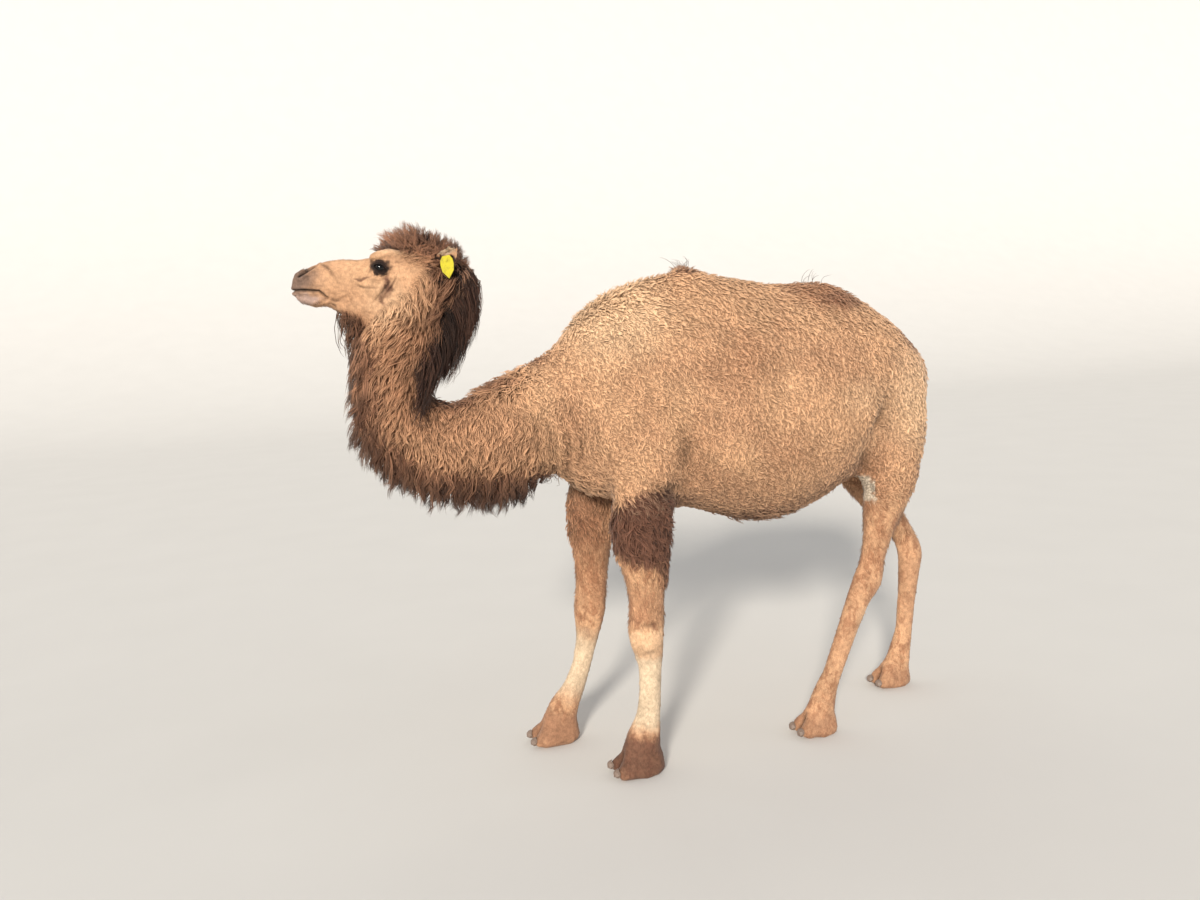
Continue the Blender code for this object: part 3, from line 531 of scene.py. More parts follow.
def skinMaterial():
    made, tree, shader = newMaterial("bareSkinAndUndercoat", 0.8, Specular_IOR_Level=0.2, Sheen_Weight=0.08)
    place = objectPlace(tree)
    colour = markedColour(tree, place)
    colour = placeGroup(tree, coatMottle, Colour=colour, Place=place, Broad=0.12, Fine=0.16).outputs["Colour"]
    furless = mathNode(tree, "MAXIMUM", attributeNode(tree, "bareSkin"), attributeNode(tree, "shortCoat"))
    # painted shade: under thick coat the skin darkens along the edges of a cell pattern, for the shade in the
    # crevices between curls; short coat and bare skin take the streaked sleek tone instead
    creviceCells = addNode(tree, "ShaderNodeTexVoronoi", feature="DISTANCE_TO_EDGE")
    tree.links.new(pushedAbout(tree, place, 60.0, 0.022), creviceCells.inputs["Vector"])
    creviceCells.inputs["Scale"].default_value = 85.0
    creviceShade = rangeNode(tree, creviceCells.outputs["Distance"], 0.02, 0.28, 0.44, 1.0)
    streaks = noiseNode(tree, vectorNode(tree, "MULTIPLY", place, (1.0, 1.0, 0.3)), 300.0, 3.0, 0.7)
    sleek = rangeNode(tree, streaks, 0.3, 0.7, 0.80, 1.04)
    gap = mathNode(tree, "SUBTRACT", sleek, creviceShade)
    shade = creased(tree, mathNode(tree, "MULTIPLY_ADD", gap, furless, creviceShade), 0.80)
    tree.links.new(shaded(tree, colour, shade), shader.inputs["Base Color"])
    hairs = mathNode(tree, "MULTIPLY", streaks, 0.6)
    lumps = mathNode(tree, "ADD", hairs, mathNode(tree, "MULTIPLY", noiseNode(tree, place, 130.0, 2.0), 0.5))
    tree.links.new(bumpFrom(tree, lumps, 0.6, 0.003), shader.inputs["Normal"])
    return made


print("camera, floor and lights")
view = {
    "place": (-1.2267, -3.3602, 1.65), "turn": 16.3, "dip": 6.7, "roll": 3.1, "lens": 27.0,
    "sensor": 36.0, "farthest": 400.0,
}


def makeCamera():
    bpy.ops.object.camera_add(location=view["place"])
    camera = bpy.context.object
    camera.name = "camera"
    turn, dip, roll = (math.radians(view[key]) for key in ("turn", "dip", "roll"))
    ahead = Vector((math.sin(turn) * math.cos(dip), math.cos(turn) * math.cos(dip), -math.sin(dip)))
    level = Vector((math.cos(turn), -math.sin(turn), 0.0))
    upright = level.cross(ahead)
    right = level * math.cos(roll) - upright * math.sin(roll)
    above = upright * math.cos(roll) + level * math.sin(roll)
    camera.rotation_euler = Matrix((right, above, -ahead)).transposed().to_euler()
    camera.data.lens = view["lens"]
    camera.data.sensor_width = view["sensor"]
    camera.data.clip_end = view["farthest"]
    bpy.context.scene.camera = camera


studio = {
    "floorWidth": 600.0, "sweepBehind": 40.0, "sweepHeight": 120.0, "floorColour": (0.60, 0.59, 0.57),
    "air": (0.86, 0.91, 1.0), "airStrength": 0.48,
}
lamps = {      # place it shines from, softness in degrees, strength, colour
    "key": ((-3.6, -6.4, 4.2), 9.0, 4.3, (1.0, 0.93, 0.83)),
    "side": ((6.0, -2.5, 3.5), 40.0, 0.35, (0.95, 0.97, 1.0)),
    "back": ((2.0, 6.0, 4.5), 40.0, 0.5, (1.0, 0.97, 0.92)),
}


def makeStudio():
    # a floor whose far edge is swept up into a backdrop
    half = studio["floorWidth"] / 2
    middle = (0.0, studio["sweepBehind"] - half, 0.0)
    bpy.ops.mesh.primitive_plane_add(size=studio["floorWidth"], location=middle)
    floor = bpy.context.object
    floor.name = "floor"
    bpy.ops.object.transform_apply(location=True)
    selectPoints(floor, lambda at: at[:, 1] > 0)
    bpy.ops.mesh.extrude_region_move(TRANSFORM_OT_translate={"value": (0.0, 0.0, studio["sweepHeight"])})
    selectPoints(floor, lambda at: (at[:, 1] > 0) & (at[:, 2] < 0.01))
    bpy.ops.mesh.bevel(offset=studio["sweepBehind"] * 0.6, segments=24)
    setMode("OBJECT")
    bpy.ops.object.shade_smooth()
    made, tree, shader = newMaterial("paleFloor", 0.9, Specular_IOR_Level=0.1)
    place = objectPlace(tree)
    low, high = studio["floorColour"], tuple(value * 1.05 for value in studio["floorColour"])
    tree.links.new(mixColours(tree, noiseNode(tree, place, 1.5), low, high), shader.inputs["Base Color"])
    floor.data.materials.append(made)
    world = bpy.data.worlds.new("studioAir")
    world.use_nodes = True
    air = world.node_tree.nodes["Background"]
    air.inputs["Color"].default_value = (*studio["air"], 1.0)
    air.inputs["Strength"].default_value = studio["airStrength"]
    bpy.context.scene.world = world
    for name, (place, softness, strength, colour) in lamps.items():
        bpy.ops.object.light_add(type="SUN", location=place)
        lamp = bpy.context.object
        lamp.name = name + "Lamp"
        lamp.data.angle = math.radians(softness)
        lamp.data.energy = strength
        lamp.data.color = colour
        lamp.rotation_euler = (Vector((0, 0, 1.1)) - Vector(place)).to_track_quat("-Z", "Y").to_euler()
    bpy.context.scene.view_settings.view_transform = "Standard"


makeCamera()
makeStudio()

# skin: the flesh in one piece, drawn in under the coat

skinShape = {
    "overlap": 0.0012,      # each solid grows by this, so that the cuts close
    "grain": 0.0158,
    "rounding": 26,         # smoothing of the body, which is under wool
    "headRounding": 5,
    "earGrain": 0.0030,
}
coatDepth = {               # from the solids' face in to the skin
    "trunk": 0.020, "hump_front": 0.022, "hump_rear": 0.020, "neck_lower": 0.026, "neck_upper": 0.028,
    "head": 0.0025, "lower_jaw": 0.0045, "tail": 0.006, "leg_upper": 0.008, "leg_lower": 0.003,
    "foot": 0.0015, "ear": 0.0012,
}


def kindOf(node):
    if node in earParts:
        return "ear"
    if "_foot_" in node:
        return "foot"
    if "_leg_" in node:
        return "leg_upper" if node.endswith("upper") else "leg_lower"
    return node


kinds = list(coatDepth)
partKinds = np.array([kinds.index(kindOf(node)) for node in fleshParts])


def fleshTree():
    corners, faces, owners = [], [], []
    for number, node in enumerate(fleshParts):
        mesh = frame["nodes"][node].data
        base = len(corners)
        corners.extend(vertex.co.copy() for vertex in mesh.vertices)
        faces.extend([base + corner for corner in face.vertices] for face in mesh.polygons)
        owners.extend([number] * len(mesh.polygons))
    return BVHTree.FromPolygons(corners, faces), np.array(owners)


def subdivideWhere(thing, test):
    centres = flat(thing.data.polygons, "center", 3)
    pick(thing)
    setMode("EDIT")
    bpy.ops.mesh.select_all(action="DESELECT")
    bpy.ops.mesh.select_mode(type="FACE")
    setMode("OBJECT")
    thing.data.polygons.foreach_set("select", test(centres))
    setMode("EDIT")
    bpy.ops.mesh.subdivide(number_cuts=1)
    setMode("OBJECT")


def makeSkin():
    skin = copyOfNodes("skin", [part for part in fleshParts if part not in earParts])
    applyModifier(skin, "DISPLACE", strength=skinShape["overlap"], mid_level=0.0)
    applyModifier(skin, "REMESH", mode="VOXEL", voxel_size=skinShape["grain"])
    headLow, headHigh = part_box("head")
    eyes = [np.array(middleOf(f"eye_{side}")) for side in sides]
    mouthBack = headLow.x + 0.14

    def eyeNear(at, reach):
        return np.minimum(*(np.linalg.norm(at - eye, axis=1) for eye in eyes)) < reach

    subdivideWhere(skin, lambda at: (at[:, 0] < headHigh.x - 0.06) & (at[:, 2] > headLow.z - 0.11))
    subdivideWhere(skin, lambda at: (at[:, 0] < eyes[0][0] + 0.06) & (at[:, 2] > headLow.z - 0.02))
    subdivideWhere(skin, lambda at: eyeNear(at, 0.048)
                   | (at[:, 0] < mouthBack - 0.03) & (at[:, 2] > headLow.z + 0.02))
    subdivideWhere(skin, lambda at: eyeNear(at, 0.034))
    subdivideWhere(skin, lambda at: at[:, 2] < 0.12)
    return skin


def fitToSolids(skin):
    # the head goes back onto the solids' own face, and the body is rounded off
    places = placesOf(skin)
    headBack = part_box("head")[1].x
    upHead = easeStep(headBack + 0.01, headBack - 0.09, places[:, 0]) * easeStep(1.66, 1.74, places[:, 2])
    edges = edgesOf(skin)
    for number in np.nonzero(upHead > 0.01)[0]:
        found = solids.find_nearest(Vector(places[number]))[0]
        places[number] += (np.array(found) - places[number]) * upHead[number]
    rounded = neighbourMean(places, edges, skinShape["rounding"])
    fine = neighbourMean(places, edges, skinShape["headRounding"])
    lowLeg = easeStep(0.75, 0.55, places[:, 2])
    rough = np.maximum(upHead, lowLeg)[:, None]
    moveVertices(skin, rounded * (1 - rough) + fine * rough)


print("skin")
solids, solidOwner = fleshTree()
skin = makeSkin()
fitToSolids(skin)
print("skin faces", len(skin.data.polygons))


def kindAt(places):
    return np.array([partKinds[solidOwner[solids.find_nearest(Vector(place))[2]]] for place in places])


eyeShape = {
    "radius": 0.0222, "lid": 0.0028, "halfLength": 0.0212, "upper": 0.0096, "lower": 0.0086,
    "slope": 0.36, "looks": (-0.30, 1.0, 0.04), "mound": 0.85, "behind": -0.05,
}


def eyeAxes(side):
    turn = -1.0 if side == "left" else 1.0
    out = unit(np.array(eyeShape["looks"]) * (1, turn, 1))
    ahead = np.array((-1.0, 0.0, eyeShape["slope"]))
    ahead = unit(ahead - out * (ahead @ out))
    upward = np.cross(ahead, out)
    return np.array(middleOf(f"eye_{side}")), ahead, upward * np.sign(upward[2]), out


def lidEdge(along, upper):
    room = np.clip(1 - (along / eyeShape["halfLength"]) ** 2, 0.0, 1.0)
    return eyeShape["upper"] * room ** 0.7 if upper else eyeShape["lower"] * room


def eyeRim(places, side):
    # distance out from the parting of the lids, with the place seen along the eye's own axes
    centre, ahead, upward, out = eyeAxes(side)
    away = places - centre
    along, high, depth = away @ ahead, away @ upward, away @ out
    rim = np.where(high > 0, high - lidEdge(along, True), -high - lidEdge(along, False))
    rim = np.maximum(rim, np.abs(along) - eyeShape["halfLength"])
    return np.where(depth > eyeShape["behind"], rim, 1.0), along, high, depth


def shapeLids(places, side):
    # skin rises over the ball, parts in an almond, and folds above and below it
    rim, along, high, depth = eyeRim(places, side)
    out = eyeAxes(side)[3]
    nearFace = depth > eyeShape["behind"]
    spread = np.hypot(along, high)
    radius, cover = eyeShape["radius"], eyeShape["radius"] + eyeShape["lid"]
    bend = 0.62 * cover
    dome = np.sqrt(np.maximum(cover ** 2 - np.minimum(spread, bend) ** 2, 0.0))
    dome -= eyeShape["mound"] * np.maximum(spread - bend, 0.0)
    lack = dome - depth
    raised = depth + 0.5 * (lack + np.sqrt(lack ** 2 + 0.003 ** 2))
    raised = depth + (raised - depth) * easeStep(0.060, 0.040, spread) * nearFace
    lidFold = bell(rim, 0.0018, 0.0065) * np.where(high > 0, 0.0022, 0.0014)
    lowFold = bell(rim, 0.0026, 0.0140) * np.where(high > 0, 0.0006, 0.0014)
    edge = bell(rim, 0.0016, 0.0020) * 0.0010
    raised += (edge - lidFold - lowFold) * nearFace
    isOpen = (1 - easeStep(-0.0007, 0.0005, rim)) * nearFace
    behind = np.sqrt(np.maximum(radius ** 2 - spread ** 2, 0.0)) - 0.004
    target = raised * (1 - isOpen) + behind * isOpen
    shade = np.maximum(1 - easeStep(0.0015, 0.0075, rim), 0.5 * bell(rim, 0.002, 0.0065))
    return places + out * (target - depth)[:, None], shade * nearFace


creases = {      # path by share of the head's box (length, height), depth, width
    "underEye": (((0.335, 0.33), (0.385, 0.25), (0.460, 0.22)), 0.0035, 0.0035),
    "tear": (((0.545, 0.36), (0.500, 0.20), (0.430, -0.03)), 0.0040, 0.0040),
    "tearLow": (((0.575, 0.42), (0.545, 0.26), (0.505, 0.12)), 0.0022, 0.0032),
    "eyeBack": (((0.560, 0.62), (0.590, 0.66), (0.625, 0.63)), 0.0022, 0.0040),
    "lipCorner": (((0.185, 0.10), (0.235, 0.05), (0.290, 0.09)), 0.0045, 0.0050),
    "chinFold": (((0.190, 0.06), (0.225, -0.04), (0.235, -0.16)), 0.0060, 0.0065),
    "lipFold": (((0.060, -0.07), (0.120, -0.03), (0.185, 0.08)), 0.0045, 0.0060),
    "noseFold": (((0.130, 0.78), (0.200, 0.62), (0.250, 0.40)), 0.0014, 0.0060),
}
nostril = {"path": ((0.050, 0.47), (0.150, 0.66)), "depth": 0.013, "width": 0.0042, "rim": 0.0036}
mouth = {
    "path": ((-0.01, 0.245), (0.06, 0.240), (0.150, 0.215), (0.195, 0.105)),
    "depth": 0.009, "width": 0.0040, "lip": 0.0022,
}


def headPath(path):
    # a line on the head seen from the side, by share of its length and height
    low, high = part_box("head")
    return [np.array((low.x + (high.x - low.x) * x, 0.0, low.z + (high.z - low.z) * z)) for x, z in path]


def shapeHead(skin):
    places, normals = placesOf(skin), normalsOf(skin)
    shade = np.zeros(len(places))
    headLow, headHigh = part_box("head")
    flatPlaces = places * (1, 0, 1)
    onHead = (places[:, 0] < headHigh.x) & (places[:, 2] > headLow.z - 0.12)
    sideways = easeStep(0.3, 0.7, np.abs(normals[:, 1]))
    for path, depth, width in creases.values():
        away, share = awayFromPath(flatPlaces, headPath(path))
        press = bell(away, width) * np.sin(np.pi * np.clip(share, 0.06, 0.94)) * onHead * sideways
        swell = bell(away, width, width * 2.2) * onHead * sideways
        places += normals * (swell * depth * 0.35 - press * depth)[:, None]
        shade = np.maximum(shade, press * 0.8)
    # nostril: a slanted slit with a raised rim
    away, width = awayFromPath(flatPlaces, headPath(nostril["path"]))[0], nostril["width"]
    slot = bell(away, width) * onHead * (np.abs(places[:, 1]) > 0.010)
    rim = bell(away, width * 1.5, width * 2.4) * onHead * (np.abs(places[:, 1]) > 0.006)
    places += normals * (rim * nostril["rim"] - slot * nostril["depth"])[:, None]
    shade = np.maximum(shade, slot)
    # mouth: a deep line, with the upper lip over the lower
    away, width = awayFromPath(flatPlaces, headPath(mouth["path"]))[0], mouth["width"]
    line = bell(away, width) * onHead
    lip = bell(away, width * 1.6, width * 2.6) * onHead
    places += normals * (lip * mouth["lip"] - line * mouth["depth"])[:, None]
    shade = np.maximum(shade, line)
    # cleft of the upper lip
    front = easeStep(headLow.x + 0.055, headLow.x + 0.02, places[:, 0]) * (places[:, 2] > headLow.z + 0.05)
    cleft = bell(places[:, 1], 0.0035) * front
    places += normals * (-cleft * 0.005)[:, None]
    shade = np.maximum(shade, cleft * 0.7)
    for side in sides:
        places, lidShade = shapeLids(places, side)
        shade = np.maximum(shade, lidShade)
    moveVertices(skin, places)
    return shade


def drawIn(skin, kindNumbers):
    # coat's own depth, eased from part to part
    depth = np.array([coatDepth[kind] for kind in kinds])[kindNumbers]
    depth = neighbourMean(depth, edgesOf(skin), 25)
    places = placesOf(skin)
    normals = neighbourMean(normalsOf(skin), edgesOf(skin), 3)
    sole = easeStep(0.0, 0.02, places[:, 2])
    places -= unit(normals) * (depth * sole)[:, None]
    places[:, 2] = np.maximum(places[:, 2], 0.0)
    moveVertices(skin, places)


feet = ("fore_foot_left", "fore_foot_right", "hind_foot_left", "hind_foot_right")
footShape = {"cleft": 0.016, "cleftWidth": 0.0075, "cleftBack": 0.52, "cleftTop": 0.105, "pad": 0.0035}
bodyFolds = {       # path, depth, width
    "flank": (((0.895, 0.0, 1.406), (0.850, 0.0, 1.300), (0.786, 0.0, 1.213)), 0.022, 0.026),
    "elbow": (((-0.150, 0.0, 1.120), (-0.060, 0.0, 1.090), (0.020, 0.0, 1.105)), 0.014, 0.020),
    "chest": (((-0.540, 0.0, 1.165), (-0.440, 0.0, 1.090), (-0.300, 0.0, 1.065)), 0.012, 0.022),
    "arm": (((-0.020, 0.0, 1.360), (0.010, 0.0, 1.260), (0.000, 0.0, 1.130)), 0.010, 0.030),
    "thigh": (((0.770, 0.0, 1.215), (0.790, 0.0, 1.130), (0.830, 0.0, 1.060)), 0.012, 0.022),
    "padBack": (((0.835, 0.0, 1.055), (0.850, 0.0, 1.000), (0.815, 0.0, 0.945)), 0.004, 0.008),
    "kneeUnder": (((-0.215, 0.0, 0.500), (-0.165, 0.0, 0.478), (-0.105, 0.0, 0.500)), 0.005, 0.009),
    "kneeOver": (((-0.215, 0.0, 0.575), (-0.165, 0.0, 0.595), (-0.105, 0.0, 0.580)), 0.004, 0.008),
}
shoulderRidges = {"middle": (-0.42, 0.0, 1.30), "reach": (0.16, 0.6, 0.24), "gap": 0.050, "height": 0.0080}
stifleSwell = {"middle": (0.812, 0.0, 1.005), "reach": (0.036, 0.6, 0.064), "height": 0.007}


def shapeFeet(places, normals):
    # two toes: a cleft down the front, and a pad that bulges round the sole
    shade = np.zeros(len(places))
    for foot in feet:
        low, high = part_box(foot)
        x, y, z = places.T
        inside = (x > low.x - 0.02) & (x < high.x + 0.02) & (y > low.y - 0.03) & (y < high.y + 0.03)
        middle = (low.y + high.y) / 2 + (x - low.x) * 0.06
        back, top = footShape["cleftBack"], footShape["cleftTop"]
        front = 1 - easeStep(back - 0.2, back, (x - low.x) / (high.x - low.x))
        lowness = 1 - easeStep(top - 0.04, top, z)
        cleft = bell(y, footShape["cleftWidth"], middle) * front * lowness * inside
        bulge = bell(z, 0.016, 0.022) * inside
        places = places + normals * (bulge * footShape["pad"] - cleft * footShape["cleft"])[:, None]
        shade = np.maximum(shade, cleft)
    return places, shade


def foldBody(places, normals):
    shade = np.zeros(len(places))
    sideways = easeStep(0.3, 0.75, np.abs(normals[:, 1]))
    for path, depth, width in bodyFolds.values():
        away, share = awayFromPath(places * (1, 0, 1), path)
        press = bell(away, width) * np.sin(np.pi * np.clip(share, 0.05, 0.95)) * sideways
        places = places - normals * (press * depth)[:, None]
        shade = np.maximum(shade, press * 0.7)
    near = nearness(places * (1, 0, 1), shoulderRidges["middle"], shoulderRidges["reach"], 0.9)
    wander = 0.02 * softNoise(places, 0.11, 21)
    ridge = np.sin(2 * np.pi * (places[:, 0] + 0.25 * (places[:, 2] - 1.3) + wander) / shoulderRidges["gap"])
    places = places + normals * (ridge * near * shoulderRidges["height"])[:, None]
    shade = np.maximum(shade, near * easeStep(-0.35, -0.95, ridge) * 0.8)
    swell = nearness(places * (1, 0, 1), stifleSwell["middle"], stifleSwell["reach"], 0.5)
    swell = swell * (places[:, 1] < 0) * sideways
    places = places + normals * (swell * stifleSwell["height"])[:, None]
    shade = np.maximum(shade, 0.5 * easeStep(0.02, 0.25, swell) * easeStep(0.75, 0.35, swell))
    return places, shade


def shapeBody(skin):
    places, normals = placesOf(skin), normalsOf(skin)
    places, folds = foldBody(places, normals)
    places, clefts = shapeFeet(places, normals)
    places[:, 2] = np.maximum(places[:, 2], 0.0)
    moveVertices(skin, places)
    return np.maximum(folds, clefts)


drawIn(skin, kindAt(placesOf(skin)))
headShade = np.maximum(shapeBody(skin), shapeHead(skin))


def makeEarSkins():
    made = []
    tagTree = treeOf("ear_tag_left")
    for part in earParts:
        ear = copyOfNodes(part + "_skin", [part])
        applyModifier(ear, "REMESH", mode="VOXEL", voxel_size=skinShape["earGrain"])
        applyModifier(ear, "SMOOTH", factor=0.5, iterations=5)
        applyModifier(ear, "DISPLACE", strength=-coatDepth["ear"] * 0.5, mid_level=0.0)
        for vertex in ear.data.vertices:       # what would cut through the tag goes behind it
            hit = tagTree.ray_cast(vertex.co, Vector((0, 1, 0)), 0.06)[0] if part == "ear_left" else None
            if hit is not None:
                vertex.co.y = hit.y + 0.005
        made.append(ear)
    return made


def storeValue(thing, name, values):
    layer = thing.data.attributes.new(name, "FLOAT", "POINT")
    layer.data.foreach_set("value", np.asarray(values, np.float32))


def closeSkin(skin, shade):
    storeValue(skin, "creaseShade", shade)
    ears = makeEarSkins()
    for ear in ears:
        storeValue(ear, "creaseShade", np.zeros(len(ear.data.vertices)))
    pick(skin, *ears)
    bpy.ops.object.join()
    pick(skin)
    setMode("EDIT")
    bpy.ops.mesh.select_all(action="SELECT")
    bpy.ops.mesh.normals_make_consistent(inside=False)
    bpy.ops.uv.smart_project(angle_limit=math.radians(70), island_margin=0.001)
    setMode("OBJECT")
    for layer in list(skin.data.uv_layers)[1:]:
        skin.data.uv_layers.remove(layer)
    skin.data.uv_layers[0].name = "OFBake"
    bpy.ops.object.shade_smooth()
    skin.data.materials.clear()
    skin.data.materials.append(skinMaterial())


closeSkin(skin, headShade)
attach(skin, "root")
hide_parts(*fleshParts)
print("skin triangles", sum(len(face.vertices) - 2 for face in skin.data.polygons))


# coat: what grows where

class Ground:
    # the skin as arrays, with values at its vertices that roots take theirs from
    def __init__(self, skin):
        mesh = skin.data
        mesh.calc_loop_triangles()
        self.places, self.normals = placesOf(skin), normalsOf(skin)
        self.edges = edgesOf(skin)
        self.triangles = flat(mesh.loop_triangles, "vertices", 3, np.int32)
        self.loops = flat(mesh.loop_triangles, "loops", 3, np.int32)
        self.uvs = flat(mesh.uv_layers["OFBake"].data, "uv", 2)
        first, second, third = self.places[self.triangles].transpose(1, 0, 2)
        self.areas = np.linalg.norm(np.cross(second - first, third - first), axis=1) / 2
        self.kinds = kindAt(self.places)

    def among(self, *names):
        return np.isin(self.kinds, [kinds.index(name) for name in names])

    def byKind(self, table, rounds=12):
        # a number or a direction for each kind of part, eased over the borders
        values = np.array([table[kind] for kind in kinds], float)[self.kinds]
        return neighbourMean(values, self.edges, rounds)

    def roots(self, perArea, values):
        # even, slightly jittered roots; perArea is locks to a square metre at each vertex
        wanted = self.areas * perArea[self.triangles].mean(axis=1)
        count = np.floor(wanted + dice.random(len(wanted))).astype(int)
        chosen = np.repeat(np.arange(len(wanted)), count)
        first, second = np.sqrt(dice.random(len(chosen))), dice.random(len(chosen))
        shares = np.stack([1 - first, first * (1 - second), first * second], axis=1)
        at = self.triangles[chosen]
        found = {
            "place": np.einsum("nc,ncd->nd", shares, self.places[at]),
            "normal": unit(np.einsum("nc,ncd->nd", shares, self.normals[at])),
            "uv": np.einsum("nc,ncd->nd", shares, self.uvs[self.loops[chosen]]),
        }
        for name, value in values.items():
            found[name] = np.einsum("nc,nc->n" if value.ndim == 1 else "nc,ncd->nd", shares, value[at])
        return found


print("ground for the coat")
ground = Ground(skin)

lie = {          # the way the coat lies on each part, before it is laid on the skin
    "trunk": (0.40, 0.30, -0.85), "hump_front": (0.35, 0.40, -0.55), "hump_rear": (0.60, 0.35, -0.50),
    "neck_lower": (-0.10, 0.20, -1.0), "neck_upper": (-0.42, 0.20, -0.85), "head": (1.0, 0.10, -0.12),
    "lower_jaw": (0.85, 0.0, -0.55), "tail": (0.0, 0.0, -1.0), "leg_upper": (0.22, 0.0, -1.0),
    "leg_lower": (0.08, 0.0, -1.0), "foot": (-0.30, 0.0, -1.0), "ear": (0.50, 0.60, 0.75),
}
# length, half thickness, rise at the root, fall at the tip, turn either way, locks to a square cm
style = {
    "trunk": (0.028, 0.0019, 50, -30, 44, 1.42),
    "hump_front": (0.032, 0.0018, 54, -16, 36, 1.44),
    "hump_rear": (0.031, 0.0019, 54, -22, 40, 1.40),
    "neck_lower": (0.040, 0.0014, 46, -18, 34, 1.95),
    "neck_upper": (0.058, 0.0013, 44, -12, 26, 2.3),
    "head": (0.0110, 0.0008, 18, -4, 18, 9.0),
    "lower_jaw": (0.014, 0.0009, 20, -6, 22, 9.0),
    "tail": (0.034, 0.0014, 24, -6, 14, 3.0),
    "leg_upper": (0.025, 0.0014, 34, -6, 34, 2.6),
    "leg_lower": (0.015, 0.0011, 22, -4, 20, 2.9),
    "foot": (0.012, 0.0010, 20, -4, 20, 2.9),
    "ear": (0.022, 0.0008, 40, 10, 24, 12.0),
}
styleNames = ("length", "thick", "rise", "fall", "turn", "density")
perSquareMetre = 1e4     # square cm in a square metre
# kinds of part, size of a curl or clump, pull of a clump, steps along a lock, shaggy or not
coats = {
    "wool": (("trunk", "hump_front", "hump_rear"), 0.0125, 0.50, 2, None),
    "neckWool": (("neck_lower", "neck_upper"), 0.0135, 0.42, 3, None),
    "faceCoat": (("head", "lower_jaw"), 0.005, 0.2, 1, False),
    "legCoat": (("leg_upper", "leg_lower", "foot"), 0.009, 0.35, 1, False),
    "shaggyHair": (("head", "lower_jaw", "leg_upper", "leg_lower", "tail", "ear"), 0.011, 0.45, 3, True),
}
# longer or different coat in places: where, how far, soft edge and both sides or not; under it the style
# and how shaggy it is, with None for what stays
patches = {
    "forearm": (placeIn("fore_leg_left_upper", 0.53, 0.5, 0.80), (0.200, 0.30, 0.155), 0.2, False,
        (0.050, 0.0016, 40, -8, 50, 2.9, 1.0)),
    "forearmLow": (placeIn("fore_leg_left_upper", 0.80, 0.5, 0.52), (0.095, 0.20, 0.125), 0.5, False,
        (0.048, 0.0016, 32, -8, 30, 2.8, 1.0)),
    "farForearm": (placeIn("fore_leg_right_upper", 0.30, 0.5, 0.82), (0.20, 0.16, 0.20), 0.6, False,
        (0.034, 0.0016, 32, -8, 34, 2.2, 1.0)),
    "belly": (placeIn("trunk", 0.48, 0.5, 0.0), (0.50, 0.36, 0.10), 0.8, True,
        (0.052, 0.0018, 60, -6, 70, 1.9, None)),
    "brisket": (placeIn("trunk", 0.12, 0.5, 0.22), (0.20, 0.20, 0.15), 0.8, True,
        (0.048, 0.0019, 46, -14, 45, 2.0, None)),
    "shoulder": (placeIn("trunk", 0.12, 0.5, 0.55), (0.16, 0.40, 0.30), 0.9, True,
        (0.032, 0.0019, None, None, 26, 2.0, None)),
    "humpPeak": (placeIn("hump_front", 0.545, 0.5, 1.0), (0.075, 0.09, 0.070), 0.6, True,
        (0.044, 0.0014, 70, 25, 80, 2.8, None)),
    "humpFace": (placeIn("hump_front", 0.22, 0.5, 0.72), (0.30, 0.26, 0.26), 0.9, True,
        (0.042, 0.0014, 64, 8, 26, 2.7, None)),
    "crest": (placeIn("neck_lower", 0.60, 0.5, 0.88), (0.24, 0.30, 0.085), 0.6, True,
        (0.060, 0.0018, 62, -14, 80, 2.3, None)),
    "crown": (placeIn("head", 0.78, 0.5, 0.82), (0.150, 0.24, 0.105), 0.45, True,
        (0.034, 0.0012, 46, 2, 38, 4.5, 1.0)),
    "jaw": (placeIn("lower_jaw", 0.50, 0.5, 0.24), (0.22, 0.13, 0.085), 0.6, True,
        (0.034, 0.0013, 36, -14, 26, 4.0, 1.0)),
    "stiflePad": (placeIn("hind_leg_left_upper", 0.13, 0.2, 0.84), (0.034, 0.20, 0.066), 0.3, False,
        (0.005, 0.0008, None, None, None, 0.4, None)),
}


# behind a line from the ear to the throat, the head wears the neck's long coat
longCoatLine = ((-0.815, 1.985), (-1.115, 1.745))


def giveHeadLongCoat():
    (startX, startZ), (endX, endZ) = longCoatLine
    x, z = ground.places[:, 0], ground.places[:, 2]
    ragged = 0.006 * softNoise(ground.places, 0.02, 9)
    behind = (x - startX) * (endZ - startZ) - (z - startZ) * (endX - startX) < ragged
    ground.kinds[behind & ground.among("head", "lower_jaw")] = kinds.index("neck_upper")


# above this height the hind legs wear the body's wool
haunchWool = 0.95


def giveHaunchWool():
    high = ground.places[:, 2] + 0.03 * softNoise(ground.places, 0.05, 33) > haunchWool
    hind = ground.among("leg_upper") & (ground.places[:, 0] > 0.5)
    ground.kinds[high & hind] = kinds.index("trunk")


giveHeadLongCoat()
giveHaunchWool()
mirror = np.sign(ground.places[:, 1])[:, None] * (0, 1, 0) + np.array((1, 0, 1))
flow = ground.byKind(lie, 24) * mirror
eased = ground.byKind(style, 14)
fields = {name: eased[:, column] for column, name in enumerate(styleNames)}
fields["shag"] = neighbourMean(ground.among("tail", "ear"), ground.edges, 3)
for centre, radii, edge, bothSides, changes in patches.values():
    folded = ground.places
    if bothSides:
        folded = np.abs(ground.places) * (0, 1, 0) + ground.places * (1, 0, 1)
        centre = Vector((centre.x, abs(centre.y), centre.z))
    folded = folded + 0.018 * softNoise(ground.places, 0.045, 13)[:, None]
    share = nearness(folded, centre, radii, edge)
    for name, value in zip((*styleNames, "shag"), changes):
        if value is not None:
            fields[name] = fields[name] * (1 - share) + value * share


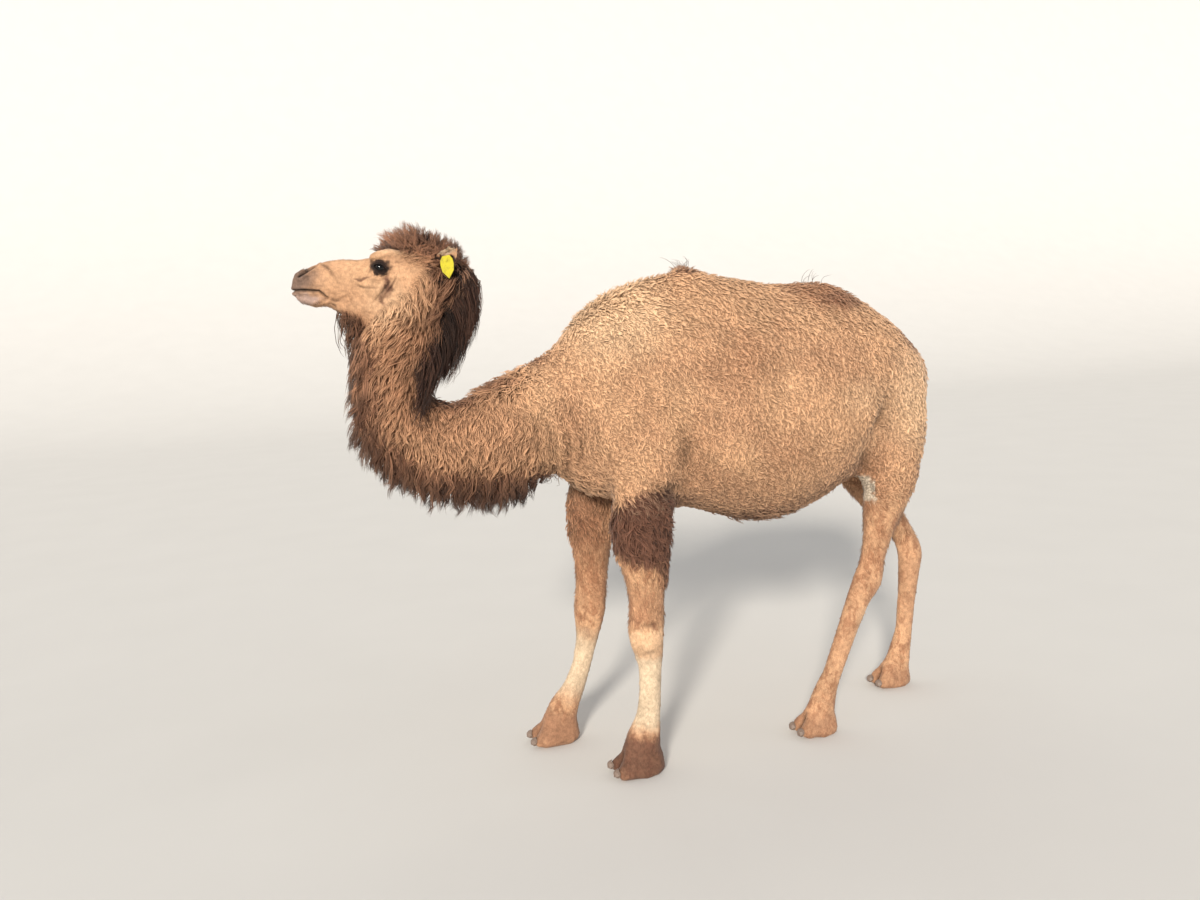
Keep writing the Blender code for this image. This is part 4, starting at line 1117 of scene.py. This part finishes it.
def bareness():
    # where no coat grows: eyes, lips, nostrils, soles, and behind the tag
    places = ground.places
    bare = np.zeros(len(places))
    for side in sides:
        bare = np.maximum(bare, 1 - easeStep(0.0035, 0.0100, eyeRim(places, side)[0]))
    sideways = places * (1, 0, 1)
    lips = awayFromPath(sideways, headPath(mouth["path"]))[0]
    onHead = ground.among("head", "lower_jaw")
    bare = np.maximum(bare, (1 - easeStep(0.006, 0.016, lips)) * onHead)
    slit = awayFromPath(sideways, headPath(nostril["path"]))[0]
    bare = np.maximum(bare, (1 - easeStep(0.004, 0.012, slit)) * onHead)
    muzzle = nearness(places, placeIn("head", 0.0, 0.5, 0.36), (0.075, 0.080, 0.055), 0.6)
    bare = np.maximum(bare, 0.85 * muzzle * onHead)
    low, high = (np.array(corner) * (1, 0, 1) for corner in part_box("ear_tag_left"))
    byTag = np.all((sideways > low - 0.001) & (sideways < high + 0.001), axis=1)
    bare = np.maximum(bare, byTag * (places[:, 1] < -0.085) * 1.0)
    return np.maximum(bare, 1 - easeStep(0.006, 0.020, places[:, 2]))


def shortCoated():
    short = ground.among("head", "lower_jaw", "leg_upper", "leg_lower", "foot")
    return neighbourMean(short, ground.edges, 8) * (1 - np.clip(fields["shag"], 0, 1))


def innerEar():
    inward = -np.sign(ground.places[:, 1]) * ground.normals[:, 1] > 0.15
    return ground.among("ear") * inward * 1.0


bare = np.maximum(bareness(), innerEar())
storeValue(skin, "bareSkin", bare)
storeValue(skin, "shortCoat", shortCoated())


def underHair(tree, reach=0.075):
    # 1 where a line straight out of the skin meets the solid of hair
    covered = np.zeros(len(ground.places))
    near = ground.among("head", "lower_jaw", "neck_upper", "neck_lower", "trunk")
    for number in np.nonzero(near)[0]:
        place, normal = Vector(ground.places[number]), Vector(ground.normals[number])
        covered[number] = tree.ray_cast(place, normal, reach)[0] is not None
    return covered


hairTrees = {node: treeOf(node) for node in ("topknot", "throat_mane", "tail_tuft")}
topCover = neighbourMean(underHair(hairTrees["topknot"]), ground.edges, 6)
throatCover = np.clip(neighbourMean(underHair(hairTrees["throat_mane"]), ground.edges, 22) * 1.5, 0, 1)
tailEnd = easeStep(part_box("tail")[0].z + 0.10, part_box("tail")[0].z + 0.05, ground.places[:, 2])
tailCover = tailEnd * ground.among("tail")

# the mane follows this line from behind the ears down to its curl on the near side
napeMane = {
    "path": ((-0.745, -0.010, 1.960), (-0.712, -0.015, 1.890), (-0.706, -0.020, 1.800),
             (-0.722, -0.030, 1.720), (-0.760, -0.045, 1.635), (-0.812, -0.062, 1.560),
             (-0.868, -0.078, 1.508)),
    "reach": 0.165, "fullness": 0.052, "length": 0.23, "density": 4.6, "thick": 0.0014, "steps": 4,
    "clump": 0.022,
}
napeAway, napeShare = awayFromPath(ground.places, napeMane["path"])
napeCover = easeStep(napeMane["reach"], napeMane["reach"] * 0.75, napeAway) * easeStep(0.99, 0.82, napeShare)
napeCover *= easeStep(-0.2, 0.3, ground.normals[:, 0])
napeCover *= ground.among("head", "neck_upper", "neck_lower")
maneShade = neighbourMean(np.maximum.reduce([topCover, throatCover, napeCover]), ground.edges, 26)
maneShade = np.clip(maneShade * 1.4, 0, 1)
storeValue(skin, "maneShade", maneShade)
creaseShade = flat(skin.data.attributes["creaseShade"].data, "value", 1).ravel().astype(float)
everywhere = {"flow": flow, "mane": maneShade, "crease": creaseShade}
fields["length"] = fields["length"] * (1 + 0.7 * maneShade * ground.among("neck_upper", "neck_lower"))


def clumpsOf(places, size):
    # one root in each small cube leads the others round it
    cell = np.floor(places / size).astype(np.int64)
    code = (cell[:, 0] * 4001 + cell[:, 1]) * 4001 + cell[:, 2]
    order = dice.permutation(len(code))
    leaders = order[np.unique(code[order], return_index=True)[1]]
    tree = KDTree(len(leaders))
    for number, leader in enumerate(leaders):
        tree.insert(places[leader], number)
    tree.balance()
    nearest = np.array([tree.find(place)[1] for place in places])
    return leaders, nearest


def curledLines(roots, clumpSize, pull, steps):
    # lines of short locks: they rise from the skin, lie over with the coat and curl in at the tip
    places, normals = roots["place"], roots["normal"]
    leaders, nearest = clumpsOf(places, clumpSize)
    leaderDice = dice.normal(size=(len(leaders), 4))
    shared = leaderDice[nearest]
    ahead = roots["flow"] - normals * dots(roots["flow"], normals)
    ahead = unit(ahead + 0.02 * dice.normal(size=ahead.shape))
    aside = np.cross(normals, ahead)
    drift = softNoise(places, 0.11, 3) * 30
    turn = np.radians(roots["turn"] * (0.62 * shared[:, 0] + 0.22 * dice.normal(size=len(places))) + drift)
    twist = np.radians(roots["turn"] * 0.9) * shared[:, 1]
    lumps = 1 + 0.20 * softNoise(places, 0.055, 5) + 0.12 * shared[:, 2]
    length = roots["length"] * np.clip(lumps, 0.55, 1.5) * dice.uniform(0.8, 1.12, len(places))
    lines = [places - normals * rootDepth]
    for step in range(steps):
        share = (step + 0.5) / steps
        lift = np.radians(roots["rise"] * (1 - share) + roots["fall"] * share + 7 * shared[:, 3])[:, None]
        bend = (turn + twist * (share - 0.3))[:, None]
        heading = np.cos(lift) * (np.cos(bend) * ahead + np.sin(bend) * aside) + np.sin(lift) * normals
        lines.append(lines[-1] + heading * (length / steps)[:, None])
    lines = np.stack(lines, axis=1)
    tips = lines[leaders, -1][nearest]
    own = lines[:, -1].copy()
    for step in range(1, steps + 1):
        lines[:, step] += (tips - own) * pull * (step / steps) ** 1.5
    return lines, shared[:, 2]


# how thick a lock is along its length, for each number of steps
taper = {
    1: (1.0,), 2: (0.85, 0.95), 3: (0.8, 1.0, 0.75), 4: (0.8, 1.0, 0.9, 0.6), 5: (0.8, 1.0, 1.0, 0.8, 0.5),
}
lockSides = 3
faceLimit = 190000       # triangles in one piece
# how far a lock takes its shading from the skin
softness = {"shaggyHair": 0.40, "topknot": 0.45, "napeMane": 0.40}
usualSoftness = 0.62
patchSize = 0.003        # of a lock on the coat's map
rootDepth = 0.0015       # how far under the skin a short lock starts
lowest = 0.0004          # no lock reaches into the floor


def lockMesh(name, lines, roots, thick, tone, soft):
    # three-sided tapering locks, closed at the root and drawn to a point
    count, steps = len(lines), lines.shape[1] - 1
    heading = np.empty((count, steps, 3))
    heading[:, 0] = lines[:, 1] - lines[:, 0]
    for step in range(1, steps):
        heading[:, step] = lines[:, step + 1] - lines[:, step - 1]
    heading = unit(heading)
    normals = roots["normal"][:, None, :]
    aside = unit(np.cross(heading, normals + 1e-4))
    above = np.cross(heading, aside)
    spin = dice.uniform(0, 2 * np.pi, count)
    perLock = steps * lockSides + 1
    corners = np.empty((count, perLock, 3))
    shading = np.empty((count, perLock, 3))
    for step in range(steps):
        for corner in range(lockSides):
            angle = (spin + 2 * np.pi * corner / lockSides)[:, None]
            out = np.cos(angle) * aside[:, step] + np.sin(angle) * above[:, step]
            slot = step * lockSides + corner
            corners[:, slot] = lines[:, step] + out * (thick * taper[steps][step])[:, None]
            shading[:, slot] = unit(roots["normal"] * soft + out * (1 - soft))
    corners[:, -1] = lines[:, -1]
    corners[:, :, 2] = np.maximum(corners[:, :, 2], lowest)
    shading[:, -1] = unit(roots["normal"] * 0.8 + heading[:, -1] * 0.3)
    faces, sizes = [], []
    for step in range(steps):
        low, high = step * lockSides, (step + 1) * lockSides
        for corner in range(lockSides):
            beside = (corner + 1) % lockSides
            over = [high + beside, high + corner] if step < steps - 1 else [perLock - 1]
            faces += [low + corner, low + beside, *over]
            sizes.append(2 + len(over))
    faces += list(range(lockSides))[::-1]
    sizes.append(lockSides)
    allFaces = (np.array(faces)[None, :] + np.arange(count)[:, None] * perLock).ravel()
    allSizes = np.tile(sizes, count)
    mesh = bpy.data.meshes.new(name)
    mesh.vertices.add(count * perLock)
    mesh.vertices.foreach_set("co", corners.astype(np.float32).ravel())
    mesh.loops.add(len(allFaces))
    mesh.loops.foreach_set("vertex_index", allFaces.astype(np.int32))
    mesh.polygons.add(len(allSizes))
    mesh.polygons.foreach_set("loop_start", np.concatenate([[0], np.cumsum(allSizes)[:-1]]).astype(np.int32))
    mesh.polygons.foreach_set("use_smooth", np.ones(len(allSizes), bool))
    mesh.update(calc_edges=True)
    slots = np.arange(perLock)
    along = slots // lockSides / steps
    patch = np.stack([(slots % lockSides) / lockSides - 0.33, along - 0.5], axis=1)
    uvs = np.clip(roots["uv"][:, None, :] + patch[None] * patchSize, 0.001, 0.999).reshape(-1, 2)
    mesh.uv_layers.new(name="OFBake").data.foreach_set("uv", uvs[allFaces].astype(np.float32).ravel())
    made = bpy.data.objects.new(name, mesh)
    bpy.context.scene.collection.objects.link(made)
    layer = mesh.attributes.new("rootPlace", "FLOAT_VECTOR", "POINT")
    layer.data.foreach_set("vector", np.repeat(roots["place"], perLock, axis=0).astype(np.float32).ravel())
    storeValue(made, "alongLock", np.tile(along, count))
    for key, values in (("lockTone", tone), ("maneShade", roots["mane"]), ("creaseShade", roots["crease"])):
        storeValue(made, key, np.repeat(values, perLock))
    mesh.normals_split_custom_set_from_vertices(shading.reshape(-1, 3))
    return made


def growPieces(name, lines, roots, thick, tone, material, replaces=()):
    # leaves out what would cross the tag, and splits a coat into pieces under the limit of faces
    low, high = (np.array(corner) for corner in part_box("ear_tag_left"))
    crossing = (lines > low - (0.006, 0.03, 0.006)) & (lines < high + (0.006, -0.012, 0.006))
    kept = ~crossing.all(axis=2).any(axis=1)
    lines, thick, tone = lines[kept], thick[kept], tone[kept]
    roots = {key: value[kept] for key, value in roots.items()}
    steps = lines.shape[1] - 1
    perLock = 2 * lockSides * (steps - 1) + 2 * lockSides - 2
    pieces = math.ceil(len(lines) * perLock / faceLimit)
    order = np.argsort(roots["place"][:, 0] + 0.9 * (roots["place"][:, 1] > 0) * (pieces > 2))
    for number, part in enumerate(np.array_split(order, pieces)):
        label = name if pieces == 1 else f"{name}{number + 1}"
        chosen = {key: value[part] for key, value in roots.items()}
        soft = softness.get(name, usualSoftness)
        piece = lockMesh(label, lines[part], chosen, thick[part], tone[part], soft)
        piece.data.materials.append(material)
        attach(piece, "root")
    if replaces:
        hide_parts(*replaces)
    print(name, len(lines), "locks,", len(lines) * perLock, "triangles")


finishes = {
    "wool": coatMaterial("curlyWool", 0.42, 1.20, (0.84, 0.61, 0.41), 0.22, toneSpread=0.14),
    "neckWool": coatMaterial("neckWool", 0.42, 1.15, (0.62, 0.40, 0.25), 0.22, toneSpread=0.24),
    "faceCoat": coatMaterial("faceFur", 0.84, 1.06, (0.72, 0.50, 0.32), 0.05, toneSpread=0.09),
    "legCoat": coatMaterial("legFur", 0.52, 1.12, (0.72, 0.50, 0.32), 0.06, toneSpread=0.17),
    "shaggyHair": coatMaterial("shaggyHair", 0.45, 1.15, (0.40, 0.23, 0.14), 0.12, toneSpread=0.22),
}


def varied(thick, thinnest, tone):
    # thickness and tone, a little different from lock to lock
    thick = thick * dice.uniform(thinnest, 1.2, len(tone))
    return thick, np.clip(0.6 * tone + 0.6 * dice.normal(size=len(tone)), -2, 2)


print("coat")
for name, (members, clumpSize, pull, steps, shaggy) in coats.items():
    share = neighbourMean(ground.among(*members), ground.edges, 3 if shaggy else 10)
    if shaggy is not None:
        share = share * np.clip(fields["shag"] if shaggy else 1 - fields["shag"], 0, 1)
    perArea = fields["density"] * perSquareMetre * share * (1 - bare)
    values = {key: fields[key] for key in ("length", "thick", "rise", "fall", "turn")}
    roots = ground.roots(perArea, {**values, **everywhere})
    lines, tone = curledLines(roots, clumpSize, pull, steps)
    thick, tone = varied(roots["thick"], 0.75, tone)
    growPieces(name, lines, roots, thick, tone, finishes[name])

# long hair: it fills the solids of hair from the skin out

# solid, cover, outward share, way it hangs, fan, looseness, steps, locks to a square cm, half thickness;
# then size of a clump, wave and reach
longHair = {
    "topknot": ("topknot", topCover, 0.70, (-0.05, 0.0, 0.45), 5.0, 0.34, 3, 10.0, 0.0009,
                0.015, 0.008, 1.22),
    "throatMane": ("throat_mane", throatCover, 0.42, (-0.10, 0.0, -0.85), 0.0, 0.20, 4, 3.6, 0.0014,
                   0.022, 0.012, 1.06),
    "tailTuft": ("tail_tuft", tailCover, 0.10, (-0.10, 0.0, -1.0), 0.0, 0.16, 4, 40.0, 0.0014,
                 0.016, 0.005, 1.0),
}
# name, shade at the root and the tip, tint of the tip and its share;
# then two colours of hair and spread of tone
hairColours = {
    "topknot": ("topknotHair", 0.50, 1.15, (0.40, 0.22, 0.13), 0.22,
                ((0.10, 0.045, 0.028), (0.25, 0.12, 0.07)), 0.26),
    "throatMane": ("throatHair", 1.0, 0.75, (0.070, 0.034, 0.024), 0.65,
                   ((0.19, 0.090, 0.052), (0.33, 0.170, 0.100)), 0.24),
    "tailTuft": ("tailHair", 0.7, 1.1, (0.20, 0.10, 0.06), 0.30,
                 ((0.10, 0.048, 0.030), (0.20, 0.10, 0.06)), 0.2),
    "napeMane": ("napeHair", 0.6, 1.1, (0.20, 0.105, 0.065), 0.16,
                 ((0.030, 0.016, 0.012), (0.085, 0.040, 0.027)), 0.30),
    "humpWires": ("wiryHair", 0.8, 1.1, (0.10, 0.05, 0.03), 0.2,
                  ((0.05, 0.024, 0.016), (0.10, 0.045, 0.03)), 0.2),
    "lashes": ("lashHair", 1.0, 1.0, (0.05, 0.03, 0.02), 0.2,
               ((0.020, 0.012, 0.010), (0.040, 0.022, 0.016)), 0.1),
}
hairFinishes = {name: coatMaterial(*values) for name, values in hairColours.items()}


def toClumps(lines, leaders, nearest, pull, bend):
    tips, own = lines[leaders, -1][nearest], lines[:, -1].copy()
    gap = np.linalg.norm(tips - own, axis=1, keepdims=True)
    pull = pull * np.minimum(1.0, 0.05 / np.maximum(gap, 1e-6))
    steps = lines.shape[1] - 1
    for step in range(1, steps + 1):
        lines[:, step] += (tips - own) * pull * (step / steps) ** bend
    return lines


def hangingLines(roots, tree, outward, hang, fan, loose, steps, clumpSize, wave, reach, longest=0.17):
    # each lock ends near the face of the solid that it fills
    places, normals = roots["place"], roots["normal"]
    leaders, nearest = clumpsOf(places, clumpSize)
    shared = dice.normal(size=(len(leaders), 4))[nearest]
    spread = fan * (places - places.mean(axis=0)) * (1, 0.6, 0)
    aim = normals * outward + np.array(hang) + spread + loose * shared[:, :3]
    aim = unit(aim + 0.6 * loose * dice.normal(size=places.shape))
    ends = np.empty_like(places)
    for number, (place, way) in enumerate(zip(places, aim)):
        hit = tree.ray_cast(Vector(place + way * 0.45), Vector(-way), 0.44)[0]
        ends[number] = np.array(hit) if hit is not None else place + way * 0.045
    full = np.linalg.norm(ends - places, axis=1)
    ends = places + (ends - places) * np.minimum(1.0, longest / np.maximum(full, 1e-6))[:, None]
    grown = reach * np.clip(dice.uniform(0.60, 1.0, len(places)) + 0.6 * loose * shared[:, 3], 0.35, 1.12)
    ends = places + (ends - places) * grown[:, None]
    middles = places + (ends - places) * 0.45 + normals * (full * 0.16)[:, None]
    aside = unit(np.cross(aim, normals))
    lines = []
    for step in range(steps + 1):
        share = step / steps
        line = (1 - share) ** 2 * places + 2 * share * (1 - share) * middles + share ** 2 * ends
        sway = np.sin(2 * np.pi * (share * 1.4 + 0.3 * shared[:, 3] + 0.5 * shared[:, 0]))
        lines.append(line + aside * (sway * wave * share ** 0.5)[:, None])
    lines = np.stack(lines, axis=1)
    lines[:, 0] -= normals * 0.002
    return toClumps(lines, leaders, nearest, 0.68, 1.5), shared[:, 1]


def followingLines(roots, path, fullness, length, steps, clumpSize):
    # long locks that leave the skin and then run along a bent line
    places, normals = roots["place"], roots["normal"]
    path = np.array(path)
    leaders, nearest = clumpsOf(places, clumpSize)
    shared = dice.normal(size=(len(leaders), 4))[nearest]
    offset = fullness * (0.45 * shared[:, :3] + 0.25 * dice.normal(size=places.shape)) * (0.7, 1.0, 0.7)
    length = length * np.clip(1 + 0.18 * shared[:, 3], 0.6, 1.4) * dice.uniform(0.7, 1.1, len(places))
    lines = [places - normals * 0.002]
    for step in range(steps):
        here = lines[-1]
        share = np.clip(awayFromPath(here, path)[1] + 0.06, 0, 1) * (len(path) - 1)
        piece = np.minimum(share.astype(int), len(path) - 2)
        nextTo = path[piece] + (path[piece + 1] - path[piece]) * (share - piece)[:, None] + offset
        along = unit(path[piece + 1] - path[piece])
        heading = along + (nextTo - here) * 9.0 + normals * (0.8 * (step == 0))
        heading = unit(heading + 0.10 * dice.normal(size=here.shape))
        lines.append(here + heading * (length / steps)[:, None])
    return toClumps(np.stack(lines, axis=1), leaders, nearest, 0.5, 1.6), shared[:, 1]


def growLongHair(name, node, lines, roots, thickness, tone):
    thick, tone = varied(thickness, 0.7, tone)
    growPieces(name, lines, roots, thick, tone, hairFinishes[name], (node,) if node else ())


print("long hair")
for name, (node, covered, outward, hang, fan, loose, steps, density, thickness, *bends) in longHair.items():
    roots = ground.roots(density * perSquareMetre * covered * (1 - bare), everywhere)
    lines, tone = hangingLines(roots, hairTrees[node], outward, hang, fan, loose, steps, *bends)
    growLongHair(name, node, lines, roots, thickness, tone)

roots = ground.roots(napeMane["density"] * perSquareMetre * napeCover * (1 - bare), everywhere)
following = [napeMane[key] for key in ("path", "fullness", "length", "steps", "clump")]
lines, tone = followingLines(roots, *following)
growLongHair("napeMane", "nape_mane", lines, roots, napeMane["thick"], tone)


# a few long dark wires on the peaks of the humps
peakWires = {            # where on the hump, how far each way, locks to a square cm
    "hump_front": ((0.545, 0.5, 1.0), (0.050, 0.045, 0.05), 1.5),
    "hump_rear": ((0.30, 0.5, 1.0), (0.10, 0.05, 0.05), 0.25),
}
wireStyle = {"length": 0.085, "rise": 80, "fall": 10, "turn": 110}
wireDensity = np.zeros(len(ground.places))
for part, (at, radii, density) in peakWires.items():
    wireDensity += density * nearness(ground.places, placeIn(part, *at), radii, 0.6)
roots = ground.roots(wireDensity * perSquareMetre, everywhere)
for name, value in wireStyle.items():
    roots[name] = np.full(len(roots["place"]), float(value))
lines, tone = curledLines(roots, 0.02, 0.15, 5)
growLongHair("humpWires", None, lines, roots, 0.0009, tone)


# eyes and lashes

lashes = {
    "upper": {"count": 24, "length": 0.017, "out": 1.0, "up": 0.45, "droop": 0.05, "thick": 0.0004},
    "lower": {"count": 14, "length": 0.008, "out": 0.80, "up": -0.45, "droop": -0.25, "thick": 0.0005},
}


def lashLines(side, kind):
    # a row of lashes on the edge of one lid, fanned out from its middle
    values = lashes[kind]
    centre, ahead, upward, out = eyeAxes(side)
    share = np.linspace(-0.90, 0.97, values["count"]) + dice.uniform(-0.02, 0.02, values["count"])
    along = share * eyeShape["halfLength"]
    high = lidEdge(along, True) + 0.0012 if kind == "upper" else -lidEdge(along, False) - 0.0010
    cover = eyeShape["radius"] + eyeShape["lid"]
    depth = np.sqrt(np.maximum(cover ** 2 - along ** 2 - high ** 2, 0.0)) - 0.0004
    places = centre + along[:, None] * ahead + high[:, None] * upward + depth[:, None] * out
    length = values["length"] * (1 - 0.35 * np.abs(share)) * dice.uniform(0.8, 1.1, len(share))
    lines = [places]
    for step in range(3):
        fall = values["up"] + (values["droop"] - values["up"]) * step / 2
        heading = values["out"] * out + fall * upward + (0.55 * share)[:, None] * ahead
        heading = unit(heading + 0.05 * dice.normal(size=places.shape))
        lines.append(lines[-1] + heading * (length / 3)[:, None])
    return np.stack(lines, axis=1), out


def makeLashes():
    lines, normals, thick = [], [], []
    for side in sides:
        for kind in lashes:
            row, out = lashLines(side, kind)
            lines.append(row)
            normals.append(np.tile(out, (len(row), 1)))
            thick.append(np.full(len(row), lashes[kind]["thick"]))
    lines, normals, thick = np.concatenate(lines), np.concatenate(normals), np.concatenate(thick)
    tree = KDTree(len(ground.triangles))
    for number, place in enumerate(ground.places[ground.triangles].mean(axis=1)):
        tree.insert(place, number)
    tree.balance()
    under = [tree.find(place)[1] for place in lines[:, 0]]
    roots = {"place": lines[:, 0], "normal": normals, "uv": ground.uvs[ground.loops[under, 0]]}
    roots.update({"mane": np.zeros(len(lines)), "crease": np.zeros(len(lines))})
    growPieces("lashes", lines, roots, thick, np.zeros(len(lines)), hairFinishes["lashes"])


def eyeMaterial():
    # dark iris round a wide pupil, under a wet clear face
    wet = {"Coat_Weight": 0.20, "Coat_Roughness": 0.03}
    made, tree, shader = newMaterial("wetEye", 0.08, Specular_IOR_Level=0.30, **wet)
    gaze = attributeNode(tree, "gaze")
    place = objectPlace(tree)
    streaks = noiseNode(tree, place, 900.0, 3.0)
    iris = mixColours(tree, streaks, (0.006, 0.003, 0.002), (0.018, 0.008, 0.005))
    white = mixColours(tree, streaks, (0.020, 0.012, 0.010), (0.05, 0.03, 0.024))
    colour = mixColours(tree, rangeNode(tree, gaze, 0.42, 0.56, 0.0, 1.0), white, iris)
    colour = mixColours(tree, rangeNode(tree, gaze, 0.80, 0.86, 0.0, 1.0), colour, (0.002, 0.002, 0.002))
    tree.links.new(colour, shader.inputs["Base Color"])
    return made


def makeEyeballs():
    balls = []
    for side in sides:
        centre, ahead, upward, out = eyeAxes(side)
        radius = eyeShape["radius"]
        bpy.ops.mesh.primitive_uv_sphere_add(segments=48, ring_count=32, radius=radius, location=centre)
        ball = bpy.context.object
        bpy.ops.object.transform_apply(location=True)
        away = placesOf(ball) - centre
        gaze = unit(away) @ out
        cornea = 0.0016 * easeStep(0.80, 0.97, gaze)
        moveVertices(ball, centre + away + out * cornea[:, None])
        pupil = gaze - 0.10 * np.abs(unit(away) @ upward) + 0.05 * np.abs(unit(away) @ ahead)
        storeValue(ball, "gaze", pupil)
        balls.append(ball)
    pick(*balls)
    bpy.ops.object.join()
    bpy.ops.object.shade_smooth()
    eyeballs = bpy.context.object
    eyeballs.name = "eyeballs"
    eyeballs.data.materials.append(eyeMaterial())
    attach(eyeballs, "root")
    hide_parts("eye_left", "eye_right")


print("eyes")
makeEyeballs()
makeLashes()


# finishes of the solids that stay

def tagMaterial():
    made, tree, shader = newMaterial("wornYellowPlastic", 0.42, Specular_IOR_Level=0.45)
    place = objectPlace(tree)
    wear = rangeNode(tree, noiseNode(tree, place, 60.0, 4.0, 0.6), 0.45, 0.75, 0.0, 1.0)
    colour = mixColours(tree, wear, (0.56, 0.49, 0.028), (0.42, 0.36, 0.032))
    grime = rangeNode(tree, noiseNode(tree, place, 170.0, 3.0, 0.6), 0.58, 0.72, 0.0, 0.55)
    tree.links.new(mixColours(tree, grime, colour, (0.12, 0.10, 0.03)), shader.inputs["Base Color"])
    gloss = rangeNode(tree, noiseNode(tree, place, 90.0, 3.0), 0.3, 0.7, 0.34, 0.58)
    tree.links.new(gloss, shader.inputs["Roughness"])
    tree.links.new(bumpFrom(tree, noiseNode(tree, place, 260.0, 3.0), 0.15, 0.001), shader.inputs["Normal"])
    return made


def nailMaterial():
    made, tree, shader = newMaterial("toenailHorn", 0.45, Specular_IOR_Level=0.4)
    place = objectPlace(tree)
    bands = addNode(tree, "ShaderNodeTexWave", wave_type="BANDS", bands_direction="Z")
    tree.links.new(place, bands.inputs["Vector"])
    bands.inputs["Scale"].default_value = 60.0
    bands.inputs["Distortion"].default_value = 3.0
    mottle = noiseNode(tree, place, 70.0, 3.0)
    colour = mixColours(tree, mottle, (0.11, 0.078, 0.062), (0.27, 0.20, 0.16))
    banding = mathNode(tree, "MULTIPLY", bands.outputs["Fac"], 0.25)
    colour = mixColours(tree, banding, colour, (0.24, 0.16, 0.12))
    tree.links.new(colour, shader.inputs["Base Color"])
    tree.links.new(bumpFrom(tree, bands.outputs["Fac"], 0.3, 0.001), shader.inputs["Normal"])
    return made


print("tag and nails")
tagFinish, nailFinish = tagMaterial(), nailMaterial()
for name, node in frame["nodes"].items():
    if name == "ear_tag_left" or "nail" in name:
        for slot in node.material_slots:
            slot.material = tagFinish if name == "ear_tag_left" else nailFinish
